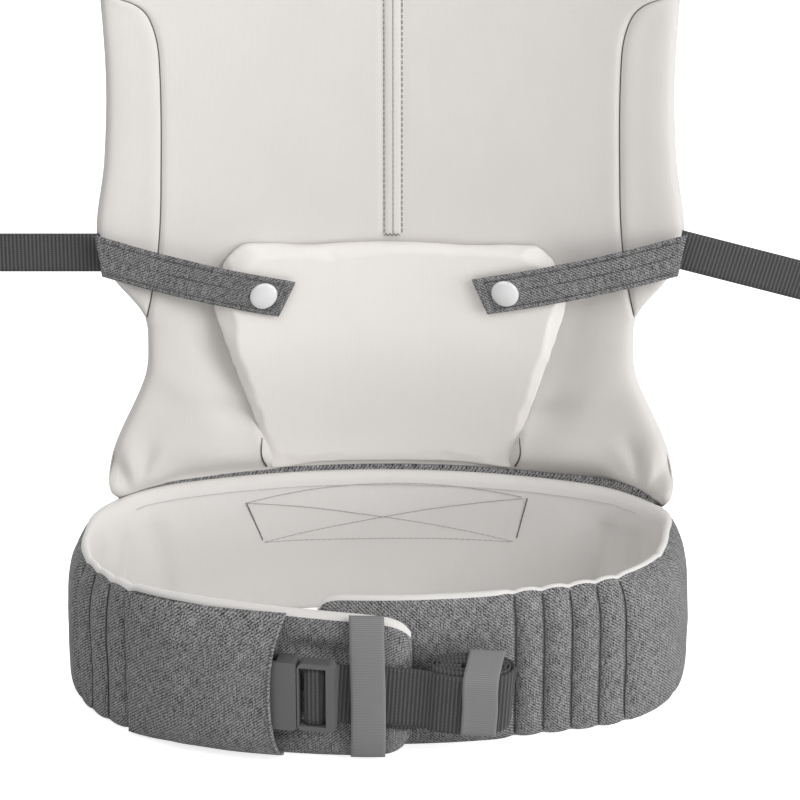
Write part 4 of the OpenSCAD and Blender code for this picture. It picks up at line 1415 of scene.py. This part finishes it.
def make_side_strap(name):
    side, slope, bend = SIDE_STRAPS[name]
    a = math.radians(slope)
    flat = (PAD_X - 190 - bend * (1 + math.sin(a))) / math.cos(a) - 26
    corner = (190 + (flat + 26) * math.cos(a), ROOT_Z - (flat + 26) * math.sin(a))
    centre = (corner[0] + bend * math.sin(a), corner[1] + bend * math.cos(a))
    path, width = [], []
    y = LOOP_Y
    for t in spaced(-0.12, 1, 40):
        d = flat * t
        path.append([side * (190 + d * math.cos(a)), y, ROOT_Z - d * math.sin(a)])
        width.append((side * math.sin(a), 0, math.cos(a)))
    for t in spaced(0, 1, 22)[1:]:
        d = flat + 26 * t
        turn = step(t) * math.pi / 2
        path.append([side * (190 + d * math.cos(a)), y, ROOT_Z - d * math.sin(a)])
        width.append((side * math.sin(a) * math.cos(turn), -math.sin(turn), math.cos(a) * math.cos(turn)))
    for t in spaced(0, 1, 36)[1:]:
        b = -math.pi / 2 - a + (math.pi / 2 + a) * t
        path.append([side * (centre[0] + bend * math.cos(b)), y, centre[1] + bend * math.sin(b)])
        width.append((0, -1, 0))
    for t in spaced(0, 1, 22)[1:]:
        turn = step(t) * math.pi / 2
        path.append([side * PAD_X, y, centre[1] + 26 * t])
        width.append((-side * math.sin(turn), -math.cos(turn), 0))
    for z in spaced(centre[1] + 26, 355, 6)[1:]:
        path.append([side * PAD_X, y, z])
        width.append((-side, 0, 0))
    # Through the plug: behind its lower bar and round the middle one.
    for z, dy in ((357, 0.6), (360, 2.6), (364, 2.4)):
        path.append([side * PAD_X, y + dy, z])
        width.append((-side, 0, 0))
    lengths = path_lengths(path)

    def across(t):
        d = t * lengths[-1]
        i = min(range(len(lengths)), key=lambda k: abs(lengths[k] - d))
        return width[i]
    band = strap(name + "_side_strap", path, across, 25, STRAP, WEB_T, 6)
    body = name + "_loop"
    finish_piece(band, body, "webbing", name + "_side_webbing")
    bar = 374 - (1.6 + 7.6 + 0.42 * 25 - 5.4) / 2
    ring = [[side * PAD_X, y + 1.65 * math.cos(t), bar + 1.7 * math.sin(t) + math.copysign(1.6, math.sin(t))]
            for t in [2 * math.pi * i / 32 for i in range(33)]]
    wrap = strap(name + "_bar_wrap", ring, lambda t: (1, 0, 0), 24.6, STRAP, 1.2, 4)
    finish_piece(wrap, body, "webbing")
    tail = [[side * PAD_X, y + 3.9, 364], [side * PAD_X, y + 6.5, 358], [side * PAD_X, y + 13.5, 346],
            [side * PAD_X, y + 14.5, 330], [side * (PAD_X + 1.2), y + 15.2, 270], [side * (PAD_X + 0.6), y + 14.4, 225]]
    loose = strap(name + "_free_end", smooth_path(tail, 3), lambda t: (1, 0, 0), 25, STRAP, WEB_T, 4)
    finish_piece(loose, body, "webbing", name + "_webbing_tail")
    up = [[side * PAD_X, y + 5.3, 391], [side * PAD_X, y + 5.2, 404], [side * PAD_X, y + 3.5, 414],
          [side * PAD_X, y + 1.5, 424]]
    short = strap(name + "_pad_strap", smooth_path(up, 3), lambda t: (1, 0, 0), 23, STRAP, 1.3, 4)
    finish_piece(short, body, "webbing", name + "_pad_webbing")
    chest_y = LOOP_Y + PAD_T / 2 + 2.2
    line = [[side * (281 + 72 * t), chest_y - 0.8 * math.sin(math.pi * t), 445] for t in spaced(0, 1, 20)]
    chest = strap(name + "_chest_strap", line, lambda t: (0, 0, 1), 20, STRAP, WEB_T, 4)
    finish_piece(chest, name + "_chest", "webbing", name + "_chest_webbing")


# ------------------------------------------------------------------ belt threads
def belt_threads():
    runs = []
    for s in RIGHT_SEAMS[3:] + [-k for k in LEFT_SEAMS[3:]]:
        line = [outer_point(s + math.copysign(0.4, s), v) for v in spaced(-0.86, 0.88, 40)]
        runs.append((line, belt_out(s)))
    stitches("channel_thread", runs, GREY_THREAD, "belt", "melange_fabric", 2.6, 3.4, 0.28, -0.05)
    # Dark cords in the front channels' seam valleys: painted shade in the creases, thicker at the deepest seams.
    for s in RIGHT_SEAMS[3:] + [-k for k in LEFT_SEAMS[3:]]:
        deep = s in (LAST_RIGHT, -LAST_LEFT)
        line = [Vector(outer_point(s - math.copysign(0.6, s), v)) for v in spaced(-0.97, 0.97, 50)]
        crease_shade = cord("seam_%s_%d" % ("right" if s > 0 else "left", abs(s)), line, 0.55 if deep else 0.42, DARK_THREAD_AND_SHADE, 6)
        finish_piece(crease_shade, "belt", "melange_fabric")
    line = []
    for s in spaced(-176, 190, 160):
        z = rim_z(s) - 7.5
        x, y = belt_plan(s, inner_depth(s, z))
        line.append((x, y, z))
    pieces = []
    for i in range(0, len(line) - 1, 20):
        bit = line[i:i + 21]
        s = mix(-176, 190, min(1, (i + 10) / 160))
        pieces.append((bit, -belt_out(s)))
    stitches("rim_thread", pieces, PALE_THREAD, "belt", "belt_jersey", 3.3, 3.6, 0.20, -0.05)

    def inside(x, z):
        s = FLAT_R * math.asin((x - BELT_X) / FLAT_R)
        px, py = belt_plan(s, inner_depth(s, z))
        return px, py, z

    def run(a, b, bow=0.0, n=30):
        out = []
        for i in range(n + 1):
            t = i / n
            out.append(inside(mix(a[0], b[0], t), mix(a[1], b[1], t) + bow * 4 * t * (1 - t)))
        return out
    tl, tr, br, bl = (-97.5, 82.0), (92.4, 86.0), (85.0, 54.0), (-86.2, 52.6)
    out = (0, -1, 0.2)
    stitches("box_side_thread", [(run(tl, bl), out), (run(tr, br), out)], DARK_THREAD_AND_SHADE, "belt", "belt_jersey",
             3.5, 3.7, 0.34, 0.15)
    faint = [(run(tl, tr, 7.5), out), (run(bl, br, -1.0), out), (run(tl, br), out), (run(bl, tr), out)]
    stitches("box_cross_thread", faint, FAINT_THREAD, "belt", "belt_jersey", 3.4, 3.8, 0.20, 0.05)


# ------------------------------------------------------------------ hard parts carried over
def finish_hard_parts():
    for name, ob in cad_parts.items():
        if ob.hide_render:
            continue
        kind = None
        if name.endswith(("plug", "socket", "slider")) or "prong" in name:
            kind = HARD
            rounded(ob, 0.8 if name.startswith("waist") else 0.6)
        elif name == "insert_snap_studs":
            kind = METAL
            rounded(ob, 0.2, 2)
        elif "webbing" in name:
            kind = STRAP
        if kind is None:
            continue
        ob.data.materials.clear()
        ob.data.materials.append(kind)
        for p in ob.data.polygons:
            p.use_smooth = False


make_belt()
make_tip_edge()
make_panel_strip()
make_pocket()
make_keeper()
make_waist_webbing()
make_roll()
make_panel()
panel_threads()
make_insert()
make_head_support()
make_top_joins()
for side, name in ((-1, "left"), (1, "right")):
    make_pad(side, name)
    make_side_strap(name)
    make_tab(name)
belt_threads()
finish_hard_parts()


# ------------------------------------------------------------------ studio
def area_light(name, place, target, size, power):
    light = bpy.data.lights.new(name, "AREA")
    light.energy = power
    light.shape = "RECTANGLE"
    light.size, light.size_y = size
    ob = bpy.data.objects.new(name, light)
    ob.location = place
    ob.rotation_euler = (Vector(target) - Vector(place)).to_track_quat("-Z", "Y").to_euler()
    scene.collection.objects.link(ob)
    ob.visible_camera = False


area_light("key", (1.9, -1.8, 1.6), (0, -0.05, 0.15), (1.2, 1.2), 31)
area_light("fill", (-0.9, -1.9, 2.0), (0, -0.05, 0.2), (1.6, 1.4), 5)
area_light("side", (2.1, -0.9, 0.3), (0.1, -0.1, 0.05), (0.8, 0.5), 16)
area_light("inner", (-0.15, -0.55, 0.8), (0.17, -0.06, 0.05), (0.4, 0.4), 1.1)
area_light("top", (0.1, -0.6, 2.3), (0, -0.1, 0.1), (1.8, 1.8), 3)
area_light("back", (-0.9, 2.2, 1.5), (0, 0, 0.25), (1.6, 1.6), 30)


def camera_only(nt, target, seen, unseen):
    """Sets a strength to one value for the camera and another for everything else."""
    path = node(nt, "ShaderNodeLightPath").outputs["Is Camera Ray"]
    nt.links.new(maths(nt, "MULTIPLY_ADD", path, seen - unseen, unseen), target)


world = bpy.data.worlds.new("studio")
scene.world = world
world.use_nodes = True
sky = world.node_tree.nodes["Background"]
sky.inputs[0].default_value = (1, 1, 1, 1)
camera_only(world.node_tree, sky.inputs[1], 1.0, 0.34)

floor_mat, nt, bsdf = shader("pale_floor")
bsdf.inputs["Base Color"].default_value = (0.9, 0.9, 0.9, 1)
bsdf.inputs["Roughness"].default_value = 1.0
bsdf.inputs["Specular IOR Level"].default_value = 0.0
bsdf.inputs["Emission Color"].default_value = (1, 1, 1, 1)
camera_only(nt, bsdf.inputs["Emission Strength"], 0.75, 0.0)
floor = mesh_object("floor", [(-9000, -9000, -1.5), (9000, -9000, -1.5), (9000, 9000, -1.5), (-9000, 9000, -1.5)],
                    [(0, 1, 2, 3)], None, floor_mat)

camera = bpy.data.cameras.new("camera")
camera.sensor_width = 36
camera.lens = 151.5
camera.clip_end = 50
camera_ob = bpy.data.objects.new("camera", camera)
camera_ob.location = (0.006, -2.0333, 0.9691)
camera_ob.rotation_euler = (math.radians(68), 0, 0)
scene.collection.objects.link(camera_ob)
scene.camera = camera_ob
scene.view_settings.view_transform = "Standard"
